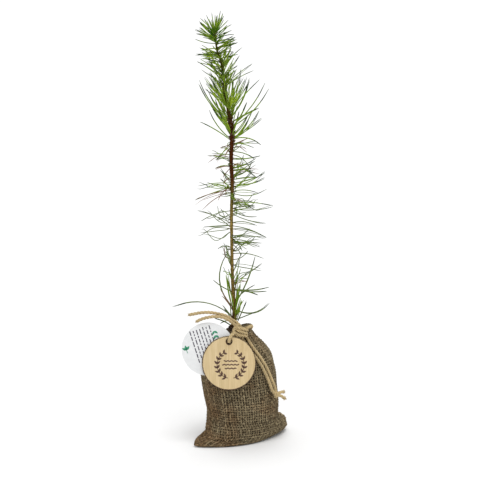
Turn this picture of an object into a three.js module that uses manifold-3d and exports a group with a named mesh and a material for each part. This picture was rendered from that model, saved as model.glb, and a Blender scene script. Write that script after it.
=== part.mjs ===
// A pine sapling standing on its root ball, which is tied into a small burlap sack with a drawstring.
// A round wooden tag and a round card tag hang from the drawstring's knot.
// Millimetres, +Z up. The origin is the middle of the sack's flat underside. The side that faces
// the viewer is -Y, and +X is to the viewer's right.

import * as THREE from "three";
import { mergeVertices } from "three/addons/utils/BufferGeometryUtils.js";
import Module from "manifold-3d";

const wasm = await Module();
wasm.setup();

// Driving sizes

const CLEAR = 0.3; // air kept between two pieces that touch on the real plant
const SLIVER = 0.04; // facets' edges shorter than this are merged away where solids join
const CORD_WIDTH = 3.0;
const CORD_SIDES = 8;

const SACK_TURN = 31; // degrees from +X to the line between the sack's two bottom corners
const CLOTH = 1.5;
const SACK_SIDES = 42;
const NECK_HEIGHT = 102; // where the drawstring pulls the sack in
const RIM_HEIGHT = 106;
const RIM_TILT = 3.2; // the rim is this much higher at the right than in the middle

const SOIL_TOP = 99;
const STEM_FOOT = SOIL_TOP + CLEAR;
const STEM_SIDES = 8;

const WOOD_TAG_WIDTH = 50;
const WOOD_TAG_THICK = 3;
const CARD_TAG_WIDTH = 49;
const CARD_TAG_THICK = 0.5;
const TAG_HOLE_WIDTH = 4.6;
const TAG_TILT = 14.5; // degrees that the tags lean back against the sack

const SLEEVE_WALL = 0.4;
const SLEEVE_SIDES = 7;

// Plain helpers

const radians = (degrees) => (degrees * Math.PI) / 180;
const vector = (x, y, z) => new THREE.Vector3(x, y, z);
const mix = (a, b, t) => a + (b - a) * t;
const clamp = (x) => Math.min(1, Math.max(0, x));
const smooth = (x) => clamp(x) ** 2 * (3 - 2 * clamp(x));

// Numbers from 0 to 1 that are the same in every run.
function seeded(seed) {
  let state = seed >>> 0;
  return () => {
    state = (state + 0x6d2b79f5) >>> 0;
    let t = Math.imul(state ^ (state >>> 15), state | 1);
    t = (t + Math.imul(t ^ (t >>> 7), t | 61)) ^ t;
    return ((t ^ (t >>> 14)) >>> 0) / 4294967296;
  };
}

// A smooth function through [place, value] pairs.
function curveThrough(pairs) {
  const slope = (i) => {
    const low = pairs[Math.max(0, i - 1)];
    const high = pairs[Math.min(pairs.length - 1, i + 1)];
    return (high[1] - low[1]) / (high[0] - low[0]);
  };
  return (place) => {
    const last = pairs.length - 2;
    let i = 0;
    while (i < last && place > pairs[i + 1][0]) i += 1;
    const [x0, y0] = pairs[i];
    const [x1, y1] = pairs[i + 1];
    const t = clamp((place - x0) / (x1 - x0));
    const width = x1 - x0;
    return (
      y0 * (1 + 2 * t) * (1 - t) ** 2 +
      slope(i) * width * t * (1 - t) ** 2 +
      y1 * t * t * (3 - 2 * t) +
      slope(i + 1) * width * t * t * (t - 1)
    );
  };
}

// A closed skin over rings of points that run anticlockwise as seen from the far end. Each end is
// closed by a fan round its middle, or by one point where a ring is a single point.
function loft(rings) {
  const points = rings.flat();
  const starts = rings.map((_, i) => rings.slice(0, i).reduce((sum, ring) => sum + ring.length, 0));
  const faces = [];
  for (let i = 0; i + 1 < rings.length; i += 1) {
    const sides = Math.max(rings[i].length, rings[i + 1].length);
    for (let k = 0; k < sides; k += 1) {
      const next = (k + 1) % sides;
      const low = rings[i].length > 1;
      const high = rings[i + 1].length > 1;
      if (low) faces.push(starts[i] + k, starts[i] + next, starts[i + 1] + (high ? next : 0));
      if (high) faces.push(starts[i] + (low ? k : 0), starts[i + 1] + next, starts[i + 1] + k);
    }
  }
  const close = (ring, start, outwards) => {
    if (ring.length < 3) return;
    const sides = ring.length;
    if (sides === 3) {
      faces.push(...(outwards ? [start, start + 1, start + 2] : [start, start + 2, start + 1]));
      return;
    }
    const middle = ring.reduce((sum, p) => sum.add(p), vector(0, 0, 0)).divideScalar(sides);
    points.push(middle);
    for (let k = 0; k < sides; k += 1) {
      const pair = [start + k, start + ((k + 1) % sides)];
      faces.push(...(outwards ? pair : pair.reverse()), points.length - 1);
    }
  };
  close(rings[0], starts[0], false);
  close(rings.at(-1), starts.at(-1), true);
  const geometry = new THREE.BufferGeometry().setFromPoints(points);
  geometry.setIndex(faces);
  return geometry;
}

// A ring of points round a centre, in the plane of two directions.
function ring(centre, across, along, radius, sides) {
  return Array.from({ length: sides }, (_, k) => {
    const turn = (2 * Math.PI * k) / sides;
    return centre
      .clone()
      .addScaledVector(across, radius * Math.cos(turn))
      .addScaledVector(along, radius * Math.sin(turn));
  });
}

// A closed three.js geometry as a solid that can be joined or cut, and back.
function solidOf(geometry) {
  const bare = geometry.clone();
  bare.deleteAttribute("normal");
  bare.deleteAttribute("uv");
  const merged = mergeVertices(bare, 1e-4);
  return new wasm.Manifold(
    new wasm.Mesh({
      numProp: 3,
      vertProperties: new Float32Array(merged.attributes.position.array),
      triVerts: new Uint32Array(merged.index.array),
    }),
  );
}

function geometryOf(solid) {
  const { vertProperties, triVerts, numProp } = solid.getMesh();
  const count = vertProperties.length / numProp;
  const points = Array.from({ length: count }, (_, i) => vector(...vertProperties.subarray(i * numProp)));
  const geometry = new THREE.BufferGeometry().setFromPoints(points);
  geometry.setIndex(Array.from(triVerts));
  return geometry;
}

// One solid from many that overlap, with slivers smoothed away and any sealed pocket filled.
function joined(solids) {
  const shells = solids.reduce((sum, solid) => sum.add(solid)).simplify(SLIVER).decompose();
  return shells.reduce((best, shell) => (shell.volume() > best.volume() ? shell : best));
}

// Materials

const MATERIALS = {
  burlap: { color: 0x6a5b42, roughness: 0.95 },
  peat: { color: 0x2a1c12, roughness: 1.0 },
  bark: { color: 0x5e3b22, roughness: 0.85 },
  needle: { color: 0x567a33, roughness: 0.6 },
  cord: { color: 0xb9a176, roughness: 0.9 },
  wood: { color: 0xd9bf8e, roughness: 0.6 },
  card: { color: 0xf2f2ef, roughness: 0.55 },
};

function piece(name, geometry, material) {
  const shown = new THREE.MeshStandardMaterial({ metalness: 0, ...MATERIALS[material] });
  const mesh = new THREE.Mesh(geometry, shown);
  mesh.name = name;
  return mesh;
}

// The sack. Its sections are ellipses that grow two pointed corners towards the ground and gather
// into pleats at the neck. All places here are [height, size].

const FLANK = curveThrough([
  [0, 34], [12, 34], [24, 34], [45, 35.6], [66, 36], [80, 32.6], [90, 25.4], [97, 17.5], [NECK_HEIGHT, 12.3],
  [RIM_HEIGHT, 12.8],
]);
const BELLY = curveThrough([
  [0, 27], [10, 29], [24, 31], [45, 33.2], [64, 33.5], [78, 30], [89, 23], [97, 15.5], [NECK_HEIGHT, 11.5],
  [RIM_HEIGHT, 12.2],
]);
const LEFT_CORNER = curveThrough([[0, 15.5], [2.5, 19.5], [5, 10], [8, 4], [12, 2.5], [17, 0.5], [26, 0]]);
const RIGHT_CORNER = curveThrough([[0, 9], [4, 19], [9, 17], [13, 15], [17, 9.5], [21, 2], [26, 0]]);
const SWAY = curveThrough([[0, -1], [22, 2.3], [65, -1.7], [85, -1.2], [96, -1.2], [RIM_HEIGHT, -2]]);
const CORNER_POINTEDNESS = 0.045; // how fast a section's end sharpens with the corner's reach
const FOOT_SKEW = 0.26; // how much deeper the foot is towards the left corner than in the middle
const LEFT_LEAD = 8; // how far the foot swings forward on the left
const PLEATS = 13;
const PLEAT_DEPTH = 0.075; // of the neck's radius

// A point of the sack's skin at a turn, in radians, and a height, moved in by some millimetres.
// The cavity for the root ball leaves out the corners.
function sackPoint(turn, height, inset = 0, corners = true) {
  const right = Math.cos(turn) >= 0;
  const corner = corners ? (right ? RIGHT_CORNER : LEFT_CORNER)(height) : 0;
  const gather = smooth((height - 84) / (NECK_HEIGHT - 84));
  const pleat = 1 + PLEAT_DEPTH * gather * Math.cos(PLEATS * turn);
  const skew = 1 - FOOT_SKEW * Math.cos(turn) * (1 - smooth(height / 11));
  const lead = LEFT_LEAD * Math.max(0, -Math.cos(turn)) ** 3 * (1 - smooth(height / 24));
  const half = (FLANK(height) + corner) * pleat - inset;
  const depth = BELLY(height) * pleat * skew - inset;
  const power = 1 + CORNER_POINTEDNESS * corner;
  const along = half * Math.cos(turn);
  const across = depth * Math.abs(Math.sin(turn)) ** power * Math.sign(Math.sin(turn)) - lead;
  const face = radians(SACK_TURN);
  const x = along * Math.cos(face) - across * Math.sin(face);
  const y = along * Math.sin(face) + across * Math.cos(face);
  const lift = RIM_TILT * smooth((height - 96) / (RIM_HEIGHT - 96)) * Math.cos(turn + face);
  return vector(x + SWAY(height), y, height + lift);
}

function sackRing(height, inset, corners) {
  return Array.from({ length: SACK_SIDES }, (_, k) =>
    sackPoint((2 * Math.PI * k) / SACK_SIDES, height, inset, corners),
  );
}

function sack() {
  const outside = [0, 2.5, 5, 8, 12, 17, 24, 34, 46, 64, 76, 84, 91, 97, NECK_HEIGHT, RIM_HEIGHT];
  const inside = [RIM_HEIGHT, NECK_HEIGHT, 96, 87, 74, 50, 24, 12, 6, CLOTH];
  return loft([
    ...outside.map((height) => sackRing(height, 0, true)),
    ...inside.map((height) => sackRing(height, CLOTH, false)),
  ]);
}

function rootBall() {
  const inset = CLOTH + CLEAR + 1.1;
  const heights = [CLOTH + CLEAR, 6, 12, 24, 50, 74, 87, 96];
  const rings = heights.map((height) => sackRing(height, inset, false));
  rings.push(sackRing(SOIL_TOP - 1, inset + 2.2, false).map((p) => p.setZ(SOIL_TOP - 0.5)));
  rings.push(sackRing(SOIL_TOP - 1, inset + 6, false).map((p) => p.setZ(SOIL_TOP)));
  return loft(rings);
}

// The stem: one tapering limb from a flat cut on the soil to its tip. Places are [height, size].

const STEM_TIP = 383;
const STEM_SHIFT_X = curveThrough([
  [99, -8.2], [107, -6.8], [116, -5.5], [126, -5.3], [140, -6.4], [165, -7.2], [215, -7.7], [243, -7], [262, -8],
  [290, -7.2], [302, -8.8], [320, -12.3], [335, -14.4], [346, -15.2], [354, -17], [364, -20.4], [STEM_TIP, -22.4],
]);
const STEM_SHIFT_Y = curveThrough([[99, 1], [140, 0], [200, -0.8], [260, 0.8], [310, 0], [STEM_TIP, -2]]);
const STEM_RADIUS = curveThrough([
  [99, 2.6], [104, 2.0], [112, 1.6], [124, 1.3], [150, 1.0], [190, 0.9], [230, 1.0], [250, 1.25], [300, 1.3],
  [320, 1.1], [350, 0.9], [STEM_TIP, 0.6],
]);

const stemPoint = (height) => vector(STEM_SHIFT_X(height), STEM_SHIFT_Y(height), height);
const stemDirection = (height) => stemPoint(height + 1).sub(stemPoint(height - 1)).normalize();

// Two directions square to the stem: away from it towards a compass turn, and sideways from that.
function stemSides(height, turn) {
  const up = stemDirection(height);
  const away = vector(Math.cos(turn), Math.sin(turn), 0);
  away.addScaledVector(up, -away.dot(up)).normalize();
  return { up, away, sideways: up.clone().cross(away) };
}

function stemRing(height, radius, sides) {
  const { away, sideways } = stemSides(height, 0);
  return ring(stemPoint(height), away, sideways, radius / Math.cos(Math.PI / sides), sides);
}

function stem() {
  const steps = 44;
  const rings = Array.from({ length: steps + 1 }, (_, i) => {
    const height = mix(STEM_FOOT, STEM_TIP, i / steps);
    return stemRing(height, STEM_RADIUS(height) * Math.cos(Math.PI / STEM_SIDES), STEM_SIDES);
  });
  rings[0].forEach((p) => p.setZ(STEM_FOOT));
  return loft(rings);
}

// The needles. They stand round the whole stem, so each mass is a thin sleeve of scaly bark round a
// length of stem, clear of it, with the needles rooted in the sleeve's wall.

// For each mass, from and to are heights on the stem. The seeded needles' length and their rise
// above square to the stem run from the first number at the bottom to the second at the top, and
// curl is how much a needle rises further towards its tip. Side is the compass turn that most needles
// point to, bias how strongly, and angles are in degrees. Outline lists the few needles that reach
// furthest: a root's height, the tip's reach to the right, upwards and backwards from there, and
// the height of its bow.
const MASSES = [
  {
    name: "collar_needles", from: 106, to: 145, count: 10, length: [30, 25], rise: [72, 66], curl: 0,
    side: 10, bias: 0.6, width: 0.8, steps: 3, seed: 11,
    outline: [[117, -58, 11, -9, 9], [123, 33, 8, -6, -6], [126, -5, 55, -1, -10.6], [130, 20, 46, -6, -2],
      [143, 34, 3, -5, -2], [142, 32, -2, 5, -1], [143, 24, -4, -9, 1], [133, 20, 13, 6, 1],
      [141, -19, 10, 5, -1], [114, 20, 8, -5, 0]],
  },
  {
    name: "low_needles", from: 146, to: 184, count: 10, length: [20, 24], rise: [30, 0], curl: -6,
    side: 10, bias: 0.7, width: 0.8, steps: 3, seed: 23,
    outline: [[149, 28, 13, -7, 1], [149, 28, 17, 6, 0], [170, 30, -4, -6, 2], [166, 28, -6, 5, 1],
      [177, 30, -4, -4, 2], [160, 9, 19, -6, 0], [171, 15, 7, 7, -2], [166, -8, 22, -4, 1],
      [183, -13, -1, -4, 2]],
  },
  {
    name: "lower_middle_needles", from: 185, to: 221, count: 18, length: [26, 28], rise: [0, 0], curl: 2,
    side: 0, bias: 0.3, width: 0.8, steps: 3, seed: 31,
    outline: [[219, 39, 2, 4, -2.5], [217, 24, -7, 9, -2], [214, 32, -7, -8, -2], [202, -32, 15, 6, 2.5],
      [217, -28, -9, -6, 2], [203, 33, -10, -5, 1.5], [206, 24, -1, -9, 1], [188, 27, -6, 6, 2],
      [194, 32, -2, -5, 1]],
  },
  {
    name: "middle_needles", from: 222, to: 252, count: 22, length: [26, 28], rise: [0, 10], curl: 6,
    side: 0, bias: 0.35, width: 0.8, steps: 3, seed: 43,
    outline: [[224, 39, -1, -6, 1.5], [243, -32, -2, -6, 1], [239, -35, -13, 5, 0.5], [237, 18, 18, -6, -0.5],
      [239, 31, 14, 5, -3], [242, 30, 7, -9, -2.5], [233, 33, 3, 6, -3.5]],
  },
  {
    name: "upper_middle_needles", from: 253, to: 281, count: 16, length: [20, 22], rise: [12, 16], curl: -10,
    side: 0, bias: 0.5, width: 0.8, steps: 3, seed: 59,
    outline: [[277, -14, -12, -6, 0.5], [259, -15, -3, 6, 1], [266, 27, 3, -7, -1.5], [256, 23, 9, 6, -1]],
  },
  {
    name: "whorl_needles", from: 282, to: 305, count: 17, length: [30, 37], rise: [38, 52], curl: 16,
    side: 0, bias: 0.1, width: 1.05, steps: 3, seed: 61,
    outline: [[296, 31, 40, -8, -3], [295, 35, 35, 6, -3.5], [301, -29, 37, 4, -3.5], [300, -29, 35, -8, -3],
      [284, -21, 26, 6, -2.5], [283, -29, 17, -6, 1], [284, 25, 26, -5, -3], [299, 26, 12, 12, 0.5],
      [284, 27, -5, -8, 3.5]],
  },
  {
    name: "shoot_needles", from: 306, to: 329, count: 29, length: [32, 24], rise: [56, 50], curl: 6,
    side: 0, bias: 0.15, width: 1.05, steps: 2, seed: 79,
    outline: [[308, 28, 31, -12, 1], [309, 17, 32, 6, -2], [312, 12, 37, -6, -2], [319, 18, 9, -8, 1],
      [314, -16, 27, -8, 0]],
  },
  {
    name: "leader_needles", from: 330, to: 352, count: 35, length: [21, 18], rise: [46, 36], curl: 0,
    side: 0, bias: 0.1, width: 1.0, steps: 2, seed: 83,
    outline: [[347, 18, 21, -6, 2], [340, 15, 20, 4, 0], [334, 26, 19, -6, 0], [332, 27, 14, 8, 1],
      [338, -24, 17, -5, 1], [334, -21, 13, 5, 0]],
  },
  {
    name: "upper_leader_needles", from: 353, to: 368, count: 33, length: [17, 18], rise: [30, 8], curl: 0,
    side: 0, bias: 0, width: 0.95, steps: 2, seed: 97, outline: [[358, 10, 16, -4, -1]],
  },
  {
    name: "tip_needles", from: 369, to: 382.5, count: 48, length: [19, 16.5], rise: [0, 70], curl: 0,
    side: 0, bias: 0, width: 0.95, steps: 2, seed: 103, outline: [[382, -3, 17, 2, 0], [382, 1, 16, -2, 0]],
  },
];
const TURN_STEP = 137.5; // degrees from one needle to the next round the stem
const RISE_SCATTER = 12;
const TURN_SCATTER = 26;
const CURL_SCATTER = 14;
const SWING_SCATTER = 16;
const LENGTH_SCATTER = 0.18;
const TRIES = 6; // for each needle that the count asks for

// The shortest distance between two straight stretches.
function stretchGap(a0, a1, b0, b1) {
  const u = a1.clone().sub(a0);
  const v = b1.clone().sub(b0);
  const w = a0.clone().sub(b0);
  const uu = u.dot(u);
  const uv = u.dot(v);
  const vv = v.dot(v);
  const uw = u.dot(w);
  const vw = v.dot(w);
  const spread = uu * vv - uv * uv;
  let s = spread > 1e-9 ? clamp((uv * vw - vv * uw) / spread) : 0;
  const t = clamp((uv * s + vw) / vv);
  s = clamp((uv * t - uw) / uu);
  return w.addScaledVector(u, s).addScaledVector(v, -t).length();
}

const sleeveRadius = (height) => STEM_RADIUS(height) + CLEAR + SLEEVE_WALL;

// Where a needle starts in the sleeve's wall, and the frame of its first ring, flat against the stem.
function needleRoot(height, turn) {
  const { up, away, sideways } = stemSides(height, turn);
  const point = stemPoint(height).addScaledVector(away, sleeveRadius(height) - SLEEVE_WALL / 2);
  return { point, across: sideways, over: up };
}

// The frames along a needle's points, each square to it.
function needleFrames(points, root) {
  const frames = [root];
  for (let i = 1; i < points.length; i += 1) {
    const ahead = points[i].clone().sub(points[i - 1]).normalize();
    const across = root.across.clone().addScaledVector(ahead, -root.across.dot(ahead)).normalize();
    frames.push({ across, over: ahead.clone().cross(across) });
  }
  return { points, frames };
}

// A needle that bends evenly away from the stem.
function seededNeedle({ height, turn, length, rise, curl, swing }, steps) {
  const root = needleRoot(height, radians(turn));
  const points = [root.point];
  for (let i = 0; i < steps; i += 1) {
    const t = (i + 0.5) / steps;
    const pitch = radians(rise + curl * t);
    const { up, away } = stemSides(height, radians(turn + swing * t));
    const ahead = away.multiplyScalar(Math.cos(pitch)).addScaledVector(up, Math.sin(pitch));
    points.push(points.at(-1).clone().addScaledVector(ahead, length / steps));
  }
  return needleFrames(points, root);
}

// A needle that reaches a given tip.
function outlineNeedle([height, right, rise, back, bow], steps) {
  const root = needleRoot(height, Math.atan2(back, right));
  const tip = stemPoint(height).add(vector(right, back, rise));
  const chord = tip.clone().sub(root.point).normalize();
  const bowed = vector(0, 0, 1).addScaledVector(chord, -chord.z).normalize().multiplyScalar(bow);
  const points = Array.from({ length: steps + 1 }, (_, i) => {
    const t = i / steps;
    return root.point.clone().lerp(tip, t).addScaledVector(bowed, 4 * t * (1 - t));
  });
  return needleFrames(points, root);
}

function needleSolid({ points, frames }, width) {
  const last = points.length - 1;
  const rings = points.map((point, i) => {
    if (i === last) return [point];
    const share = i === 0 ? 0.72 : 1.2 - (0.5 * i) / last; // narrow at the root, widest just past it
    return ring(point, frames[i].across, frames[i].over, (width / 2) * share, 3);
  });
  return solidOf(loft(rings));
}

// Keeps the needles of one mass clear of the other masses, of the stem further on and of the ties.
function keepsClear(stretches, width, mass, placed, ties) {
  // A needle's first stretch leaves its own sleeve, and all else of it stays clear of the bark.
  const fromStem = stretches.every(([a, b], i) =>
    [0.2, 0.4, 0.6, 0.8, 1].every((t) => {
      const p = a.clone().lerp(b, t);
      const own = p.z > mass.from + width && p.z < mass.to + 1 - width;
      if (p.z > STEM_TIP + width || (own && i === 0)) return true;
      const height = Math.min(p.z, STEM_TIP);
      return p.distanceTo(stemPoint(height)) > sleeveRadius(height) + width / 2 + CLEAR;
    }),
  );
  const fromOthers = placed.every((other) => {
    const same = other.mass === mass;
    const room = (width + other.width) / 2 + (same ? 0 : CLEAR);
    return stretches
      .slice(same ? 1 : 0)
      .every(([a, b]) => other.stretches.slice(same ? 1 : 0).every(([c, d]) => stretchGap(a, b, c, d) > room));
  });
  const fromTies = ties.every(({ a, b, radius }) =>
    stretches.every(([c, d]) => stretchGap(a, b, c, d) > radius + width / 2 + CLEAR),
  );
  const fromSack = stretches.every(([, p]) => p.z > RIM_HEIGHT + RIM_TILT + 1.5);
  return fromStem && fromOthers && fromTies && fromSack;
}

// The bark sleeve of one mass, from just above its lower end to just below the next one's.
function sleeve({ from, to }) {
  const steps = Math.ceil((to - from) / 7);
  const low = from + CLEAR / 2;
  const high = to + 1 - CLEAR / 2;
  const wall = (thickness, overrun) =>
    loft(
      Array.from({ length: steps + 1 }, (_, i) => {
        const height = mix(low, high, i / steps);
        const past = i === 0 ? -overrun : i === steps ? overrun : 0;
        return stemRing(height, STEM_RADIUS(height) + CLEAR + thickness, SLEEVE_SIDES).map((p) =>
          p.addScaledVector(stemDirection(height), past),
        );
      }),
    );
  return solidOf(wall(SLEEVE_WALL, 0)).subtract(solidOf(wall(0, 1)));
}

// The chosen outline needles of every mass come first, then each mass's seeded ones between them.
function needleMasses(ties) {
  const placed = [];
  const place = (mass, line) => {
    const stretches = line.points.slice(1).map((end, i) => [line.points[i], end]);
    if (!keepsClear(stretches, mass.width, mass, placed, ties)) return false;
    placed.push({ mass, line, stretches, width: mass.width });
    return true;
  };
  for (const mass of MASSES) mass.outline.forEach((row) => place(mass, outlineNeedle(row, mass.steps + 1)));
  for (const mass of MASSES) {
    const random = seeded(mass.seed);
    const scatter = (amount) => (2 * random() - 1) * amount;
    let made = 0;
    for (let i = 0; made < mass.count && i < mass.count * TRIES; i += 1) {
      const along = (i * 0.618034) % 1;
      const needle = {
        height: mix(mass.from + 1, mass.to - 0.2, along),
        turn: i * TURN_STEP + scatter(TURN_SCATTER),
        length: mix(...mass.length, along) * (1 + scatter(LENGTH_SCATTER)),
        rise: mix(...mass.rise, along) + scatter(RISE_SCATTER),
        curl: mass.curl + scatter(CURL_SCATTER),
        swing: scatter(SWING_SCATTER),
      };
      const turnedAway = 0.5 - 0.5 * Math.cos(radians(needle.turn - mass.side));
      if (random() < mass.bias * turnedAway) continue;
      if (place(mass, seededNeedle(needle, mass.steps))) made += 1;
    }
  }
  return MASSES.map((mass) => {
    const needles = placed.filter((needle) => needle.mass === mass);
    const solid = joined([sleeve(mass), ...needles.map(({ line }) => needleSolid(line, mass.width))]);
    return piece(mass.name, geometryOf(solid), "needle");
  });
}

// The tags: two round discs on one loop of cord, leaning on the sack, one behind the other. Each is
// drawn with its hole at the origin and its face towards the viewer.

const TAG_HOLE = vector(-9.9, -26.3, 99.2); // on the wooden tag's back face
const TAG_LEAN = Math.PI / 2 - radians(TAG_TILT);
const WOOD_TAG_DROP = 20; // from the hole down to the wooden tag's middle
const CARD_TAG_REACH = 20.5; // from the hole to the card tag's middle
const CARD_TAG_SWING = 20; // degrees below straight left

function tag(width, thick, middleX, middleY) {
  const outline = new THREE.Shape().absarc(middleX, middleY, width / 2, 0, 2 * Math.PI);
  outline.holes.push(new THREE.Path().absarc(0, 0, TAG_HOLE_WIDTH / 2, 0, 2 * Math.PI, true));
  return new THREE.ExtrudeGeometry(outline, { depth: thick, bevelEnabled: false, curveSegments: 24 });
}

function tags() {
  const wood = piece("wood_tag", tag(WOOD_TAG_WIDTH, WOOD_TAG_THICK, 0, -WOOD_TAG_DROP), "wood");
  wood.position.copy(TAG_HOLE);
  const swing = radians(CARD_TAG_SWING);
  const cardX = -CARD_TAG_REACH * Math.cos(swing);
  const cardY = -CARD_TAG_REACH * Math.sin(swing);
  const card = piece("card_tag", tag(CARD_TAG_WIDTH, CARD_TAG_THICK, cardX, cardY), "card");
  const faceOut = vector(0, -Math.sin(TAG_LEAN), Math.cos(TAG_LEAN));
  card.position.copy(TAG_HOLE).addScaledVector(faceOut, -CARD_TAG_THICK - CLEAR);
  for (const mesh of [wood, card]) mesh.rotation.x = TAG_LEAN;
  return [wood, card];
}

// The cords. Each route is a list of points along the cord's middle.

const placesOf = (route) => route.map((p) => vector(...p));
const TAIL_UPPER = [
  [-2.2, -15.6, 113.9], [-7.9, -17.5, 118], [-12.6, -19.2, 121.6], [-19.6, -20.2, 123.8], [-28.1, -20.8, 125.3],
  [-36.1, -20.8, 125], [-46.5, -20, 122.9],
];
const TAIL_LOWER = [
  [-4.9, -18.9, 113.3], [-9.3, -21.1, 117.4], [-14.8, -22.4, 120.7], [-22.9, -22.8, 121.9], [-29.8, -23, 121],
  [-34.9, -23, 119.6], [-39.6, -22.5, 117.3],
];
const TAG_LOOP = [
  [-3.4, -22.1, 105.2], [-5.2, -26.2, 106.8], [-7.6, -29.9, 105.9], [-9.3, -31.5, 103.4], [-9.9, -31.4, 100.8],
  [-9.9, -29.4, 99.85], [-9.9, -26.3, 99.1], [-9.9, -24, 98.5], [-9.2, -22, 99.2], [-7.4, -20.8, 100.6],
];
const HEM_STRAND = [[8.2, -17.9, 110.8], [9.9, -16.2, 111.3], [11, -14.2, 110.7]];
// The falls lie on the sack, so their points are [turn in degrees, height] on its skin.
const FALL_UPPER = [
  [-91, 99], [-88.7, 95.6], [-86.4, 90.8], [-82.1, 85.8], [-78.2, 80.5], [-72.1, 72.7], [-65.9, 62.3], [-59.5, 53],
];
const FALL_LOWER = [
  [-105, 98], [-99.5, 94.2], [-95.3, 89.7], [-90.5, 85.3], [-85.6, 80.5], [-81.1, 75.1], [-75.8, 67.3],
  [-70.1, 57.9], [-66, 51],
];

const KNOT = vector(1.1, -17.75, 106.6);
const KNOT_WIDTH = 14.6;
const KNOT_DEPTH = 9;
const KNOT_TURNS = 2.5;
const KNOT_TILT = 8; // degrees that its strands fall to the right
const END_KNOT = [-60, 46]; // turn and height on the sack's skin
const END_KNOT_WIDTH = 6;
const STUBS = [[40.7, -11.5, 47.2], [41.6, -13.5, 41.6]];

const FALL_LIFT = 0.8; // the falls ride on the pleats' crests
const onSack = ([turn, height], out = CORD_WIDTH / 2 + CLEAR + FALL_LIFT) =>
  sackPoint(radians(turn), height, -out);

function tube(points, radiusAt, steps) {
  const route = new THREE.CatmullRomCurve3(points);
  const frames = route.computeFrenetFrames(steps);
  return loft(
    Array.from({ length: steps + 1 }, (_, i) =>
      ring(route.getPointAt(i / steps), frames.normals[i], frames.binormals[i], radiusAt(i / steps), CORD_SIDES),
    ),
  );
}

function cord(name, points, spacing = CORD_WIDTH * 2) {
  const steps = Math.round(new THREE.CatmullRomCurve3(points).getLength() / spacing);
  return piece(name, tube(points, () => CORD_WIDTH / 2, steps), "cord");
}

// A flattened coil round a filled middle: the turns of cord that a knot shows.
function coil(middle, width, depth, turns, tilt, strand) {
  const sides = 8;
  const half = (turns * strand * 1.04) / 2;
  const lean = new THREE.Matrix4().makeRotationY(radians(tilt)).setPosition(middle);
  const points = Array.from({ length: turns * sides + 1 }, (_, i) => {
    const turn = (2 * Math.PI * i) / sides;
    const x = ((width - strand) / 2) * Math.cos(turn);
    const y = ((depth - strand) / 2) * Math.sin(turn);
    return vector(x, y, mix(-half, half, i / (turns * sides))).applyMatrix4(lean);
  });
  const wound = tube(points, () => strand / 2, turns * sides);
  const across = vector((width - strand) / 2, 0, 0);
  const along = vector(0, (depth - strand) / 2, 0);
  const ends = [-half, half].map((z) => ring(vector(0, 0, z), across, along, 1, sides));
  const filling = loft(ends.map((end) => end.map((p) => p.applyMatrix4(lean))));
  return joined([solidOf(wound), solidOf(filling)]);
}

function knot() {
  const solid = coil(KNOT, KNOT_WIDTH, KNOT_DEPTH, KNOT_TURNS, KNOT_TILT, CORD_WIDTH);
  return piece("drawstring_knot", geometryOf(solid), "cord");
}

// The knot that joins the two falls, and the two frayed stubs beyond it.
function endKnot() {
  const middle = onSack(END_KNOT, END_KNOT_WIDTH / 2 + CLEAR + FALL_LIFT);
  const lump = coil(middle, END_KNOT_WIDTH, END_KNOT_WIDTH, 1.5, 60, CORD_WIDTH * 0.9);
  const stubs = STUBS.map((end) => {
    const fray = (t) => (CORD_WIDTH / 2) * (t > 0.7 ? 1 + 0.9 * (t - 0.7) : 1);
    const tip = vector(...end);
    return solidOf(tube([middle, middle.clone().lerp(tip, 0.5).add(vector(0, 0, 0.8)), tip], fray, 3));
  });
  return piece("end_knot", geometryOf(joined([lump, ...stubs])), "cord");
}

// What the needles have to keep clear of, as straight stretches with a radius.
function ties() {
  const stretches = [TAIL_UPPER, TAIL_LOWER, HEM_STRAND, TAG_LOOP].map(placesOf).flatMap((route) =>
    route.slice(1).map((b, i) => ({ a: route[i], b, radius: CORD_WIDTH / 2 + 0.4 })),
  );
  const across = vector(KNOT_WIDTH / 2 - KNOT_DEPTH / 2, 0, 0);
  stretches.push({ a: KNOT.clone().sub(across), b: KNOT.clone().add(across), radius: KNOT_DEPTH / 2 + 0.5 });
  return stretches;
}

const sapling = new THREE.Group();
sapling.add(piece("sack", sack(), "burlap"));
sapling.add(piece("root_ball", rootBall(), "peat"));
sapling.add(piece("stem", stem(), "bark"));
sapling.add(...needleMasses(ties()));
sapling.add(...tags());
sapling.add(knot());
sapling.add(cord("tail_upper", placesOf(TAIL_UPPER)));
sapling.add(cord("tail_lower", placesOf(TAIL_LOWER)));
sapling.add(cord("fall_upper", FALL_UPPER.map((p) => onSack(p))));
sapling.add(cord("fall_lower", FALL_LOWER.map((p) => onSack(p))));
sapling.add(cord("tag_loop", placesOf(TAG_LOOP), CORD_WIDTH / 2));
sapling.add(cord("hem_strand", placesOf(HEM_STRAND)));
sapling.add(endKnot());

export default sapling;
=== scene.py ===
# The looks of a pine sapling that stands on its root ball, tied into a small burlap sack.
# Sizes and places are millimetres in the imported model's frame; only the meshes are made in metres.
# The side with the knot and the tags faces the viewer, -Y, and +X is to the viewer's right.

import math

import bpy
import numpy as np
from mathutils import Matrix, Vector, noise


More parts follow.
